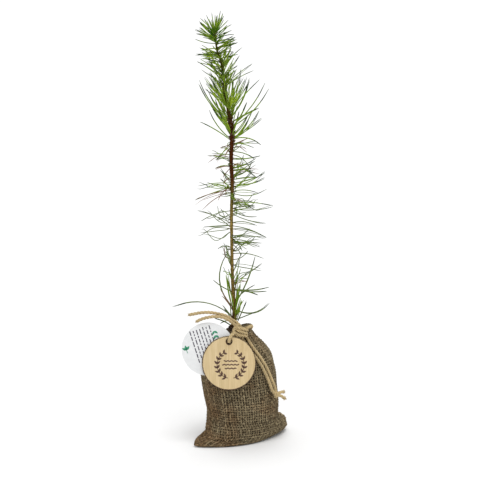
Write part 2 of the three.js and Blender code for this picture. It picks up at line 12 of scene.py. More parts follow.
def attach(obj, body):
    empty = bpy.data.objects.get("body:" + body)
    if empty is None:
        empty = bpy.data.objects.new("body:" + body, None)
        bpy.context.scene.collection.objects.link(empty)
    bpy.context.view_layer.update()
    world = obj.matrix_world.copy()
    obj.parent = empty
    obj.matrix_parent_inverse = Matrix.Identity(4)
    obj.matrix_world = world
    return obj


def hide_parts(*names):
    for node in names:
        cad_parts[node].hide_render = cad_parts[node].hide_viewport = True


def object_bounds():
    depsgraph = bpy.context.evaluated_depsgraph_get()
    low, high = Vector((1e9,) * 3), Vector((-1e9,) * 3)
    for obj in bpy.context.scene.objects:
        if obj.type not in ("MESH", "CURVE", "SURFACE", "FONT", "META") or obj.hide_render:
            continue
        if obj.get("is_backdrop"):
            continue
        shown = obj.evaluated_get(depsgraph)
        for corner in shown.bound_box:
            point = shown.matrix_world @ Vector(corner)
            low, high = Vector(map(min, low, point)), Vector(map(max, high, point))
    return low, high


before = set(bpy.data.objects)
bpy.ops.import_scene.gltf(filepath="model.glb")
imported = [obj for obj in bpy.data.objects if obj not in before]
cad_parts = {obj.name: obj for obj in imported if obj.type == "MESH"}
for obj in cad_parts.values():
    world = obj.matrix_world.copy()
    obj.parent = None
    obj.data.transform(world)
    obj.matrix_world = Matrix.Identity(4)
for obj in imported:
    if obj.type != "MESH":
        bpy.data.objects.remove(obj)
cad_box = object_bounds()

MM = 0.001
BODY = "root"
STEPS_BETWEEN = 24  # points on a smooth path between two given ones
SEEDS = {
    "weave": 5, "loose fibres": 17, "peat": 29, "needle pairs": 41, "buds": 53, "print": 61,
    "cord fuzz": 70, "tail ends": 90, "stub ends": 95,
}

# The camera, at the photograph's viewing angle

CAMERA_PLACE = (9.4, -1500, 450)
CAMERA_PITCH = 10.2  # degrees that it looks down
CAMERA_LENS = 118.08
CAMERA_SENSOR = 36


def in_scene(name, data):
    """A new object in the scene."""
    thing = bpy.data.objects.new(name, data)
    bpy.context.scene.collection.objects.link(thing)
    return thing


def add_camera():
    lens = bpy.data.cameras.new("camera")
    lens.lens = CAMERA_LENS
    lens.sensor_width = CAMERA_SENSOR
    lens.clip_end = 100
    camera = in_scene("camera", lens)
    camera.location = Vector(CAMERA_PLACE) * MM
    camera.rotation_euler = (math.radians(90 - CAMERA_PITCH), 0, 0)
    bpy.context.scene.camera = camera


# Plain helpers


def mix(a, b, t):
    return a + (b - a) * t


def smooth(x):
    x = np.clip(x, 0, 1)
    return x * x * (3 - 2 * x)


def unit(vectors):
    return vectors / np.maximum(np.linalg.norm(vectors, axis=-1, keepdims=True), 1e-9)


def hump(distance, width):
    return np.exp(-((distance / width) ** 2))


def lengths_along(points):
    """How far along a path each of its points lies."""
    return np.concatenate([[0], np.cumsum(np.linalg.norm(np.diff(points, axis=0), axis=1))])


def between(a, b, leave, enter, t):
    """A place t of the way from a to b on a curve that leaves and enters with the given slopes."""
    ends = a * (1 + 2 * t) * (1 - t) ** 2 + b * t * t * (3 - 2 * t)
    return ends + leave * t * (1 - t) ** 2 + enter * t * t * (t - 1)


def curve_through(pairs):
    """A smooth function through (place, value) pairs."""
    places, values = np.array(pairs, float).T
    count = len(places)
    low = np.maximum(np.arange(count) - 1, 0)
    high = np.minimum(np.arange(count) + 1, count - 1)
    slopes = (values[high] - values[low]) / (places[high] - places[low])

    def value(place):
        i = np.clip(np.searchsorted(places, place) - 1, 0, count - 2)
        width = places[i + 1] - places[i]
        t = np.clip((place - places[i]) / width, 0, 1)
        return between(values[i], values[i + 1], slopes[i] * width, slopes[i + 1] * width, t)

    return value


def draws(name, number=0):
    """The random generator of a kind of detail, or of one of several by its number."""
    return np.random.default_rng(SEEDS[name] + number)


def seeded(seed):
    """Numbers from 0 to 1 that are the same in every run, as the model's source draws them."""
    word = 0xFFFFFFFF
    state = seed

    def number():
        nonlocal state
        state = (state + 0x6D2B79F5) & word
        t = ((state ^ (state >> 15)) * (state | 1)) & word
        t = ((t + (((t ^ (t >> 7)) * (t | 61)) & word)) & word) ^ t
        return ((t ^ (t >> 14)) & word) / 2**32

    return number


def path_through(points, spacing, closed=False):
    """Points evenly spaced on one smooth curve through the given ones."""
    points = np.asarray(points, float)
    if closed:
        around = np.concatenate([points[-1:], points, points[:2]])
    else:
        around = np.concatenate([[2 * points[0] - points[1]], points, [2 * points[-1] - points[-2]]])
    t = np.linspace(0, 1, STEPS_BETWEEN, endpoint=False)[:, None]
    dense = []
    for p in zip(around, around[1:], around[2:], around[3:]):
        d0, d1, d2 = (max(np.linalg.norm(b - a), 1e-6) ** 0.5 for a, b in zip(p, p[1:]))
        leave = ((p[1] - p[0]) / d0 - (p[2] - p[0]) / (d0 + d1) + (p[2] - p[1]) / d1) * d1
        enter = ((p[2] - p[1]) / d1 - (p[3] - p[1]) / (d1 + d2) + (p[3] - p[2]) / d2) * d1
        dense.append(between(p[1], p[2], leave, enter, t))
    dense.append(points[:1] if closed else points[-1:])
    dense = np.concatenate(dense)
    lengths = lengths_along(dense)
    count = max(2, round(lengths[-1] / spacing))
    places = np.linspace(0, lengths[-1], count + (0 if closed else 1), endpoint=not closed)
    return np.stack([np.interp(places, lengths, dense[:, axis]) for axis in range(3)], 1)


def frames_along(points, closed=False):
    """The direction along a path and two directions square to it, which turn as little as they can."""
    if closed:
        ahead = unit(np.roll(points, -1, 0) - np.roll(points, 1, 0))
    else:
        ahead = unit(np.gradient(points, axis=0))
    across = np.empty_like(points)
    last = np.cross(ahead[0], (0.1, 0.2, 1.0))
    for i, direction in enumerate(ahead):
        last = last - direction * last.dot(direction)
        last /= np.linalg.norm(last)
        across[i] = last
    over = np.cross(ahead, across)
    if closed:
        # The frame that comes back round has turned, so the turn is undone evenly on the way.
        miss = math.atan2(across[-1].dot(over[0]), across[-1].dot(across[0]))
        turn = (-miss * np.arange(len(points)) / len(points))[:, None]
        c, s = np.cos(turn), np.sin(turn)
        across, over = across * c + over * s, over * c - across * s
    return ahead, across, over


class Shape:
    """Points and faces gathered from many parts, which then make one piece."""

    def __init__(self):
        self.points, self.faces, self.marks = [], [], []
        self.count = 0

    def add(self, points, *faces, mark=0):
        points = np.asarray(points, float).reshape(-1, 3)
        for group in faces:
            group = np.asarray(group)
            self.faces.append(group.reshape(-1, group.shape[-1]) + self.count)
            self.marks.append(np.full(len(self.faces[-1]), mark))
        self.points.append(points)
        self.count += len(points)

    def tubes(self, centres, across, over, half_width, half_thick, sides, closed=False, mark=0):
        """Tubes round paths of equal count. centres is (tubes, points, 3), the sizes (tubes, points)."""
        turns = 2 * math.pi * np.arange(sides) / sides
        wide = (across * half_width[..., None])[..., None, :] * np.cos(turns)[:, None]
        high = (over * half_thick[..., None])[..., None, :] * np.sin(turns)[:, None]
        rings = centres[..., None, :] + wide + high
        index = np.arange(rings[..., 0].size).reshape(rings.shape[:3])
        ends = () if closed else (index[:, 0, ::-1], index[:, -1])
        if closed:
            index = np.concatenate([index, index[:, :1]], 1)
        beside = np.roll(index, -1, 2)
        faces = np.stack([index[:, :-1], beside[:, :-1], beside[:, 1:], index[:, 1:]], -1)
        self.add(rings, faces, *ends, mark=mark)

    def tube(self, points, radius, sides, closed=False):
        _, across, over = frames_along(points, closed)
        radius = np.broadcast_to(np.asarray(radius, float), (len(points),))[None]
        self.tubes(points[None], across[None], over[None], radius, radius, sides, closed)

    def loft(self, rings, caps=True, mark=0):
        """A skin over rings of equal count, given as (rings, points, 3). Caps close its two ends."""
        rings = np.asarray(rings, float)
        index = np.arange(rings[..., 0].size).reshape(rings.shape[:2])
        beside = np.roll(index, -1, 1)
        faces = [np.stack([index[:-1], beside[:-1], beside[1:], index[1:]], -1)]
        points = rings.reshape(-1, 3)
        if caps:
            points = np.concatenate([points, rings[:1].mean(1), rings[-1:].mean(1)])
            low = np.full(index.shape[1], index.size)
            faces.append(np.stack([beside[0], index[0], low], -1))
            faces.append(np.stack([index[-1], beside[-1], low + 1], -1))
        self.add(points, *faces, mark=mark)

    def piece(self, name, materials, slot, *stands_for, matrix=None):
        """Make the gathered parts a piece that rides the body and stands for nodes of the model."""
        mesh = bpy.data.meshes.new(name)
        faces = [face for group in self.faces for face in group.tolist()]
        mesh.from_pydata(np.concatenate(self.points) * MM, [], faces, shade_flat=False)
        mesh.polygons.foreach_set("material_index", np.concatenate(self.marks))
        mesh.validate()
        for material in materials if isinstance(materials, list) else [materials]:
            mesh.materials.append(material)
        thing = in_scene(name, mesh)
        if matrix is not None:
            thing.matrix_world = matrix
        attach(thing, BODY)
        if stands_for:
            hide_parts(*stands_for)


# Materials

FIBRE_ROUGHNESS = 0.9


class Nodes:
    """A material's nodes, with short names for the links that every material here needs."""

    def __init__(self, name, roughness, specular=0.5):
        self.material = bpy.data.materials.new(name)
        self.material.use_nodes = True
        self.tree = self.material.node_tree
        self.shader = self.tree.nodes["Principled BSDF"]
        self.shader.inputs["Roughness"].default_value = roughness
        self.shader.inputs["Specular IOR Level"].default_value = specular
        self.place = self.tree.nodes.new("ShaderNodeTexCoord").outputs["Object"]

    def node(self, kind, values, links, **settings):
        """A new node with its settings, some inputs set and others linked."""
        node = self.tree.nodes.new("ShaderNode" + kind)
        for name, value in settings.items():
            setattr(node, name, value)
        for socket, value in values.items():
            node.inputs[socket].default_value = value
        for socket, source in links.items():
            self.tree.links.new(source, node.inputs[socket])
        return node

    def noise(self, size, stretch=(1, 1, 1), detail=3):
        """A noise whose lumps are about size millimetres across, times stretch along each axis."""
        mapping = self.node("Mapping", {"Scale": [1 / s for s in stretch]}, {"Vector": self.place})
        values = {"Scale": 1 / (size * MM), "Detail": detail, "Roughness": 0.6}
        return self.node("TexNoise", values, {"Vector": mapping.outputs["Vector"]}).outputs["Fac"]

    def ramp(self, value, *stops):
        """A colour for each place of a value from 0 to 1."""
        node = self.node("ValToRGB", {}, {"Fac": value})
        elements = node.color_ramp.elements
        while len(elements) < len(stops):
            elements.new(0.5)
        for element, (place, colour) in zip(elements, stops):
            element.position = place
            element.color = (*colour, 1)
        return node.outputs["Color"]

    def times(self, a, b):
        """The product of two colours."""
        return self.node("Mix", {0: 1}, {6: a, 7: b}, data_type="RGBA", blend_type="MULTIPLY").outputs[2]

    def axis(self, name, low, high):
        """How far along an axis a place is, from 0 at low to 1 at high, in millimetres."""
        split = self.node("SeparateXYZ", {}, {"Vector": self.place})
        values = {"From Min": low * MM, "From Max": high * MM}
        return self.node("MapRange", values, {"Value": split.outputs[name]}).outputs["Result"]

    def plus(self, value, other, amount):
        """A value and an amount of another."""
        node = self.node("Math", {1: amount}, {0: other, 2: value}, operation="MULTIPLY_ADD")
        return node.outputs["Value"]

    def bump(self, value, height):
        node = self.node("Bump", {"Distance": height * MM}, {"Height": value})
        self.tree.links.new(node.outputs["Normal"], self.shader.inputs["Normal"])

    def colour(self, source):
        self.tree.links.new(source, self.shader.inputs["Base Color"])


def shade(colour, amount):
    return tuple(min(1.0, part * amount) for part in colour)


def fibre(name, colour, contrast, size, sheen=0.2, bump=0.12):
    """Plant fibre: a colour that wanders a little, and a fine fuzz."""
    nodes = Nodes(name, FIBRE_ROUGHNESS, specular=0.1)
    ends = shade(colour, 1 - contrast), shade(colour, 1 + contrast)
    nodes.colour(nodes.ramp(nodes.noise(size), (0.3, ends[0]), (0.7, ends[1])))
    nodes.bump(nodes.noise(0.35, detail=2), bump)
    nodes.shader.inputs["Sheen Weight"].default_value = sheen
    return nodes.material


def yarn(name, brown, olive):
    """Burlap yarn: darker brown to the left, partly its own tone and partly painted shade, and olive by broad
    patches, with paler and darker stretches.
    """
    nodes = Nodes(name, FIBRE_ROUGHNESS, specular=0.1)
    # Painted shade: the sack's left side is coloured a darker brown, partly the cloth's own warmer tone and
    # partly for the shade on that side.
    left_tone_and_shade = nodes.plus(nodes.noise(24), nodes.axis("X", -50, 15), 0.22)
    patches = nodes.ramp(left_tone_and_shade, (0.5, brown), (0.72, olive))
    stretches = nodes.ramp(nodes.noise(1.7), (0.38, (0.42, 0.38, 0.33)), (0.62, (1.62, 1.62, 1.66)))
    nodes.colour(nodes.times(patches, stretches))
    nodes.bump(nodes.noise(0.35, detail=2), 0.15)
    return nodes.material


def needle_material(name, colour, roughness):
    """A needle's waxy skin, a plain colour that wanders a little along each needle."""
    nodes = Nodes(name, roughness, specular=0.06)
    lumps = nodes.noise(9, detail=2)
    nodes.colour(nodes.ramp(lumps, (0.35, shade(colour, 0.82)), (0.65, shade(colour, 1.18))))
    nodes.bump(nodes.noise(0.5, detail=1), 0.04)
    return nodes.material


def hair(shape, start, run, bend, radius, taper, sides=3):
    """A loose fibre that runs from a place, bends away and thins towards its end."""
    t = np.linspace(0, 1, 4)[:, None]
    shape.tube(start + run * t + bend * t * t, radius * (1 - taper * t[:, 0]), sides)


# The sack's skin. Its curves are the solid model's, and folds, pleats and the weave are added here.

SACK_TURN = 31
NECK_HEIGHT = 102
RIM_HEIGHT = 106
RIM_TILT = 3.2
SOIL_TOP = 99
CLOTH = 1.5
CLEAR = 0.3
FLANK = curve_through([
    (0, 34), (12, 34), (24, 34), (45, 35.6), (66, 36), (80, 32.6), (90, 25.4), (97, 17.5),
    (NECK_HEIGHT, 12.3), (RIM_HEIGHT, 12.8),
])
BELLY = curve_through([
    (0, 27), (10, 29), (24, 31), (45, 33.2), (64, 33.5), (78, 30), (89, 23), (97, 15.5),
    (NECK_HEIGHT, 11.5), (RIM_HEIGHT, 12.2),
])
LEFT_CORNER = curve_through([(0, 15.5), (2.5, 19.5), (5, 10), (8, 4), (12, 2.5), (17, 0.5), (26, 0)])
RIGHT_CORNER = curve_through([(0, 9), (4, 19), (9, 17), (13, 15), (17, 9.5), (21, 2), (26, 0)])
SWAY = curve_through([(0, -1), (22, 2.3), (65, -1.7), (85, -1.2), (96, -1.2), (RIM_HEIGHT, -2)])
CORNER_POINTEDNESS = 0.045
FOOT_SKEW = 0.26
LEFT_LEAD = 8
PLEATS = 13
PLEAT_DEPTH = 0.075
GATHER_FOOT = 84  # where the cloth begins to gather towards the neck
TILT_FOOT = 96
LEAD_TOP = 24
SKEW_TOP = 11


def sack_point(turn, height, inset, corners=True):
    """The skin at a turn in radians and a height, moved in by inset."""
    turn, height = np.broadcast_arrays(np.asarray(turn, float), np.asarray(height, float))
    corner = np.where(np.cos(turn) >= 0, RIGHT_CORNER(height), LEFT_CORNER(height)) * corners
    gather = smooth((height - GATHER_FOOT) / (NECK_HEIGHT - GATHER_FOOT))
    pleat = 1 + PLEAT_DEPTH * gather * np.cos(PLEATS * turn)
    skew = 1 - FOOT_SKEW * np.cos(turn) * (1 - smooth(height / SKEW_TOP))
    lead = LEFT_LEAD * np.maximum(0, -np.cos(turn)) ** 3 * (1 - smooth(height / LEAD_TOP))
    half = (FLANK(height) + corner) * pleat - inset
    depth = BELLY(height) * pleat * skew - inset
    along = half * np.cos(turn)
    sharp = np.abs(np.sin(turn)) ** (1 + CORNER_POINTEDNESS * corner)
    across = depth * sharp * np.sign(np.sin(turn)) - lead
    face = math.radians(SACK_TURN)
    x = along * math.cos(face) - across * math.sin(face)
    y = along * math.sin(face) + across * math.cos(face)
    lift = RIM_TILT * smooth((height - TILT_FOOT) / (RIM_HEIGHT - TILT_FOOT)) * np.cos(turn + face)
    return np.stack([x + SWAY(height), y, height + lift], -1)


# The weave. A half is the cloth between the two corners, the front half first, and each yarn has
# two columns or rows of the grid, one on it and one beside it.

YARN_PITCH = 2.6
HALF_YARNS = 42
COLUMNS = 4 * HALF_YARNS
WEFTS = 46
ROWS = 2 * WEFTS + 1
WEAVE_RISE = 0.5  # how far a yarn leaves the cloth's middle where it crosses another
YARN_THICK = 0.48
YARN_MOST = 0.85
HALF_STEPS = 720  # round one half of the sack
WEAVE_INSET = 0.95
WEAVE_TOP = RIM_HEIGHT - 0.5
HALF_WIDTH = 110  # of the cloth's halves, about
FINE_STEPS = 400  # where a run is measured before it is divided
LUMP_SIZE = 17
LUMP_RISE = 0.5
RUFFLES = 11  # pleats round each half at the mouth
RUFFLE_FOOT = 80
RUFFLE_RISE = 0.8
FOLD_FOOT = 5  # the height under which folds and lumps fade out
BASE_STRANDS = 16  # along the foot, on each side of its middle
STITCH_ROW = -5
STITCH_STEP = 6  # columns from one stitch to the next
STRAY_FIBRES = 900

# Folds of the cloth: their two ends as (share of the front from the left corner, height), their
# half width and how far they stand out. Shares past 1 are on the back.
FOLDS = [
    ((0.09, 5), (0.24, 30), 3.5, 1.3),
    ((0.20, 16), (0.16, 58), 4.0, 0.9),
    ((0.10, 22), (0.13, 52), 3.5, -0.8),
    ((0.30, 6), (0.52, 15), 4.0, -0.8),
    ((0.90, 22), (0.78, 44), 4.5, 1.1),
    ((0.88, 6), (0.70, 14), 4.0, 0.9),
    ((0.93, 20), (0.84, 13), 3.0, -1.4),
    ((0.62, 92), (0.80, 60), 5.0, 1.0),
    ((0.74, 90), (0.90, 66), 4.0, -0.9),
    ((0.30, 90), (0.14, 60), 5.0, 0.9),
    ((0.44, 94), (0.40, 62), 4.0, -0.8),
    ((0.56, 40), (0.60, 12), 4.0, 0.6),
    ((1.10, 12), (1.30, 38), 4.5, 1.6),
    ((1.90, 10), (1.70, 34), 4.5, 1.7),
    ((1.25, 90), (1.15, 58), 5.0, 1.2),
    ((1.45, 93), (1.50, 60), 4.0, -1.0),
    ((1.70, 92), (1.80, 58), 5.0, 1.3),
    ((1.40, 6), (1.62, 15), 4.0, 1.1),
]


def fold_heights(share, height):
    """How far the folds, each fading towards its second end, lift the cloth at a share and a height."""
    lifted = np.zeros(np.broadcast(share, height).shape)
    for (share_a, height_a), (share_b, height_b), width, rise in FOLDS:
        a = np.array([share_a * HALF_WIDTH, height_a])
        b = np.array([share_b * HALF_WIDTH, height_b])
        run = b - a
        x = share * HALF_WIDTH
        t = ((x - a[0]) * run[0] + (height - a[1]) * run[1]) / run.dot(run)
        near = np.clip(t, 0, 1)
        away = np.hypot(x - a[0] - near * run[0], height - a[1] - near * run[1])
        lifted += rise * hump(away, width) * np.sqrt(np.clip(1.15 - near * 0.9, 0, 1))
    return lifted


def sack_grid():
    """Points and outward directions on the cloth's middle, as (rows, columns, 3)."""
    # The rows lie evenly along the cloth, which leans in towards the neck.
    heights = np.linspace(WEAVE_INSET, WEAVE_TOP, FINE_STEPS)
    run = lengths_along(np.stack([heights, (FLANK(heights) + BELLY(heights)) / 2], 1))
    heights = np.interp(np.linspace(0, run[-1], ROWS), run, heights)
    turns = np.linspace(-math.pi, math.pi, 2 * HALF_STEPS + 1)
    shares = np.linspace(0, 1, COLUMNS // 2, endpoint=False)
    grid = np.empty((ROWS, COLUMNS, 3))
    for row, height in enumerate(heights):
        ring = sack_point(turns, height, WEAVE_INSET)
        for half in (0, 1):
            line = ring[HALF_STEPS * half :][: HALF_STEPS + 1]
            lengths = lengths_along(line)
            columns = slice(half * COLUMNS // 2, (half + 1) * COLUMNS // 2)
            for axis in range(3):
                grid[row, columns, axis] = np.interp(shares * lengths[-1], lengths, line[:, axis])
    share = np.arange(COLUMNS) * 2 / COLUMNS
    outward = grid_normals(grid)
    lumps = np.array([[noise.noise(Vector(p) / LUMP_SIZE) for p in line] for line in grid])
    gather = smooth((heights - RUFFLE_FOOT) / (NECK_HEIGHT - RUFFLE_FOOT))[:, None]
    pleats = np.cos(2 * math.pi * (share * RUFFLES + 0.35 * np.sin(share * 9)))[None] * gather
    lift = fold_heights(share[None], heights[:, None]) + LUMP_RISE * lumps + RUFFLE_RISE * pleats
    foot = smooth(heights / FOLD_FOOT)[:, None]
    grid = grid + outward * (lift * foot)[..., None]
    grid[..., 2] = np.maximum(grid[..., 2], WEAVE_INSET)
    return grid, grid_normals(grid)


def grid_runs(grid):
    """The run round the sack and the run up it at each point of the grid."""
    return np.roll(grid, -1, 1) - np.roll(grid, 1, 1), np.gradient(grid, axis=0)


def grid_normals(grid):
    return unit(np.cross(*grid_runs(grid)))


def yarns(fields, room, share, least, odds, random, climbs):
    """Yarns of uneven width in three tones. fields are their middles, sides and tops on the grid."""
    half = np.clip(share * room, least, YARN_MOST)
    half = half * (1 + 0.2 * random.standard_normal(half.shape)).clip(0.65, 1.4)
    fields = [*fields, half, np.minimum(YARN_THICK, half)]
    if climbs:
        fields = [np.swapaxes(field, 0, 1) for field in fields]
    tones = random.choice(3, len(half.T if climbs else half), p=odds)
    shape = Shape()
    for tone in range(3):
        shape.tubes(*(field[tones == tone] for field in fields), 6, closed=not climbs, mark=tone)
    return shape


def weave(grid, outward):
    """The warps, which run up the sack, and the wefts, which run round it."""
    around, climb = grid_runs(grid)
    right, up = unit(around), unit(climb)
    random = draws("weave")
    wave = WEAVE_RISE * np.outer(*(np.sin(np.pi * np.arange(n) / 2) for n in (ROWS, COLUMNS)))

    odd = np.s_[:, 1::2]
    room = np.linalg.norm(around, axis=-1)[odd]
    rise = wave[odd] * np.clip(room / YARN_PITCH, 0.4, 1)
    aside = random.uniform(-0.1, 0.1, room.shape[1])[None] * room
    middles = grid[odd] + outward[odd] * rise[..., None] + right[odd] * aside[..., None]
    fields = middles, right[odd], -outward[odd]
    warps = yarns(fields, room, 0.3, 0.24, (0.3, 0.4, 0.3), random, climbs=True)

    odd = np.s_[1::2]
    room = 2 * np.linalg.norm(climb, axis=-1)[odd]
    fields = (grid - outward * wave[..., None])[odd], up[odd], outward[odd]
    wefts = yarns(fields, room, 0.29, 0.28, (0.35, 0.4, 0.25), random, climbs=False)
    return warps, wefts


def shade_backing(grid, outward):
    """A dark backing for the weave, one closed shell with its mouth open, partly the dark peat behind the
    cloth and partly painted shade inside the sack.
    """
    shape = Shape()
    skins, floors = [], []
    for inset, height in ((0.95, 0.5), (1.7, 1.2)):
        skins.append((grid - outward * inset)[::2, ::2])
        floors.append(skins[-1][:1].copy())
        floors[-1][..., 2] = height
    shape.loft(np.concatenate([floors[0], skins[0], skins[1][::-1], floors[1]]))
    return shape


def base_weave():
    """The cloth's underside, woven in the same pitch within the foot's outline."""
    shape = Shape()
    turns = np.linspace(0, math.pi, 361)
    face = math.radians(SACK_TURN)
    along = np.array([math.cos(face), math.sin(face), 0])
    across = np.array([-math.sin(face), math.cos(face), 0])
    front, back = (sack_point(turn, 0, WEAVE_INSET) for turn in (-turns, turns))
    start = front @ along
    order = np.argsort(start)

    def edges(place):
        """Where strands start and end across the foot at a place along it."""
        low, high = (np.interp(place, start[order], (side @ across)[order]) for side in (front, back))
        return low + 1, high - 1

    def strand(a, b, way, side, sign):
        count = max(3, round(np.linalg.norm(b - a) / (YARN_PITCH / 2)) + 1)
        line = mix(a[None], b[None], np.linspace(0, 1, count)[:, None])
        line[:, 2] += WEAVE_INSET + sign * WEAVE_RISE * np.cos(math.pi * (line @ way) / YARN_PITCH)
        size = np.full((1, count), 0.3 * YARN_PITCH)
        sides = np.tile(side, (1, count, 1)), np.tile((0.0, 0.0, 1.0), (1, count, 1))
        shape.tubes(line[None], *sides, size, size * 0.65, 5)

    for k in range(-int(-start.min() / YARN_PITCH) + 1, int(start.max() / YARN_PITCH)):
        low, high = edges(k * YARN_PITCH)
        if high - low > 3:
            a, b = (along * k * YARN_PITCH + across * end for end in (low, high))
            strand(a, b, across, along, 1 - 2 * (k % 2))
    inside = np.linspace(start.min(), start.max(), FINE_STEPS)
    low, high = edges(inside)
    for k in range(-BASE_STRANDS, BASE_STRANDS + 1):
        fits = inside[(low < k * YARN_PITCH) & (high > k * YARN_PITCH)]
        if len(fits) > 8:
            a, b = (along * end + across * k * YARN_PITCH for end in (fits[0], fits[-1]))
            strand(a, b, along, -across, 2 * (k % 2) - 1)
    return shape


def hem(grid, outward):
    """The turned-over edge of the mouth, with its running stitch."""
    edge, stitches = Shape(), Shape()
    top = grid[-1]
    columns = np.arange(COLUMNS)
    wave = 0.35 * np.sin(columns * 0.9)[:, None]
    size = 1.2 + 0.35 * np.sin(columns * 1.3)
    edge.tube(top + np.array([0, 0, 1]) * (wave - 0.7), size, 8, closed=True)
    # Behind the knot the gathered cloth stands in two more ruffles inside the edge, and one outside
    # it to the left.
    middle = top.mean(0)
    for inset, size, side in ((0.78, 1.25, 1), (0.56, 1.1, 1), (1.12, 1.2, -1)):
        ring = middle + (top - middle) * inset
        ring = ring + outward[-1] * 0.5 * np.sin(columns * 1.7)[:, None]
        ring[:, 2] += 0.8 * np.sin(columns * 0.83 + inset * 9) - 0.7
        chosen = np.flatnonzero((ring[:, 0] - middle[0]) * side > 1.5)
        start = chosen[np.argmax(np.diff(np.concatenate([[chosen[-1] - COLUMNS], chosen])))]
        edge.tube(ring[(start + np.arange(len(chosen))) % COLUMNS], size, 7)
    line = grid[STITCH_ROW] + outward[STITCH_ROW] * 0.75
    for start in range(0, COLUMNS, STITCH_STEP):
        stitches.tube(line[np.arange(start, start + 4) % COLUMNS], 0.3, 5)
    return edge, stitches


def stray_fibres(grid, outward):
    """Loose fibre ends that stand off the yarns."""
    shape = Shape()
    random = draws("loose fibres")
    for _ in range(STRAY_FIBRES):
        row, column = random.integers(2, ROWS - 1), random.integers(0, COLUMNS)
        out = outward[row, column]
        start = grid[row, column] + out * 0.6
        if start[2] < 3:
            continue
        way = unit(out * random.uniform(0.25, 0.9) + random.standard_normal(3) * 0.55)
        bend = random.standard_normal(3) * 0.5
        hair(shape, start, way * random.uniform(1.0, 3.4), bend, 0.07, 0.7)
    return shape


def add_sack():
    grid, outward = sack_grid()
    warps, wefts = weave(grid, outward)
    brown, olive = (0.182, 0.121, 0.063), (0.203, 0.164, 0.097)

    def toned(name, *tones):
        """Yarns of the sack's two colours, each tone a share of its brown and of its olive."""
        return [yarn(f"{name} {i}", shade(brown, b), shade(olive, o)) for i, (b, o) in enumerate(tones)]

    # The wefts are toned about a tenth darker than the warps. This is painted shade that strengthens the
    # light and dark checks where the yarns cross.
    warps.piece("sack_warps", toned("warp", (0.8, 0.8), (1.02, 1.02), (1.22, 1.34)), "burlap", "sack")
    wefts.piece("sack_wefts", toned("weft", (0.78, 0.78), (0.9, 0.92), (1.04, 1.1)), "burlap")
    base_weave().piece("sack_underside", toned("base yarn", (1, 1)), "burlap")
    # Painted shade: the backing's near black darkens the weave's gaps and the inside of the mouth.
    shade_backing(grid, outward).piece("sack_shade_backing", fibre("shade_backing", (0.04, 0.028, 0.015), 0.5, 2), "burlap")
    edge, stitches = hem(grid, outward)
    # Painted shade: the hem's yarn is darkened to little over half the sack's tones, for the shade in the
    # gathered mouth.
    edge.piece("sack_hem", toned("hem", (0.55, 0.6)), "burlap")
    stitches.piece("sack_stitches", fibre("stitching", (0.32, 0.265, 0.175), 0.2, 2), "burlap")
    loose = fibre("loose fibre", (0.3, 0.24, 0.15), 0.3, 5)
    stray_fibres(grid, outward).piece("sack_fibres", loose, "burlap")


# The root ball

PEAT_SLUMP = 2.2  # how much lower the peat's top lies at its edge
PEAT_SIDES = 96
PEAT_INSET = CLOTH + CLEAR + 1.3
PEAT_HEIGHTS = (2.2, 12, 30, 50, 74, 87, 95)
# A dark mound of peat left of the stem, which stands as painted shade for the shaded inner back of the rim.
SHADE_HEAP_PLACE = (-9.6, -1)
SHADE_HEAP_HEIGHT = 9
SHADE_HEAP_WIDTH = 3.2
CRUMBS = 520


def shade_heap(place):
    """How high the peat is heaped on its top, left of the stem's foot: a dark mound of painted shade for the
    shaded inner back of the rim.
    """
    away = np.hypot(place[..., 0] - SHADE_HEAP_PLACE[0], place[..., 1] - SHADE_HEAP_PLACE[1])
    return SHADE_HEAP_HEIGHT * hump(away, SHADE_HEAP_WIDTH)


def add_root_ball():
    body, crumbs = Shape(), Shape()
    random = draws("peat")
    turns = np.linspace(0, 2 * math.pi, PEAT_SIDES, endpoint=False)
    rings = [sack_point(turns, height, PEAT_INSET, corners=False) for height in PEAT_HEIGHTS]
    top = sack_point(turns, SOIL_TOP - 3, PEAT_INSET + 0.6, corners=False)
    middle = top.mean(0)
    for share in np.linspace(1, 0.06, 12):
        ring = middle + (top - middle) * share
        ring[:, 2] = SOIL_TOP - PEAT_SLUMP * share**3 - 0.4 + shade_heap(ring)
        ring[:, 2] += [1.5 * noise.noise(Vector(p) / 2.2) + 0.7 * noise.noise(Vector(p) / 0.9) for p in ring]
        rings.append(ring)
    body.loft(rings)
    body.piece("peat", fibre("peat", (0.028, 0.016, 0.009), 0.6, 1.6, bump=0.5), "peat", "root_ball")
    corners = np.array([(x, y, z) for x in (-1, 1) for y in (-1, 1) for z in (-1, 1)], float)
    sides = [(0, 1, 3, 2), (4, 6, 7, 5), (0, 4, 5, 1), (2, 3, 7, 6), (0, 2, 6, 4), (1, 5, 7, 3)]
    for _ in range(CRUMBS):
        turn, share = random.uniform(0, 2 * math.pi), random.random() ** 0.5 * 0.97
        size = random.uniform(0.25, 0.85)
        place = middle + (top[int(turn / (2 * math.pi) * PEAT_SIDES)] - middle) * share
        place[2] = SOIL_TOP - PEAT_SLUMP * share**3 + random.uniform(-0.4, 0.9) + shade_heap(place)
        spin = np.array(Matrix.Rotation(random.uniform(0, 6), 3, Vector(random.standard_normal(3))))
        lump = corners * random.uniform(0.5, 1, (8, 3)) * size
        crumbs.add(place + lump @ spin, sides)
    crumbs.piece("peat_crumbs", fibre("peat crumb", (0.045, 0.026, 0.014), 0.6, 1.0, bump=0.3), "peat")


# The stem

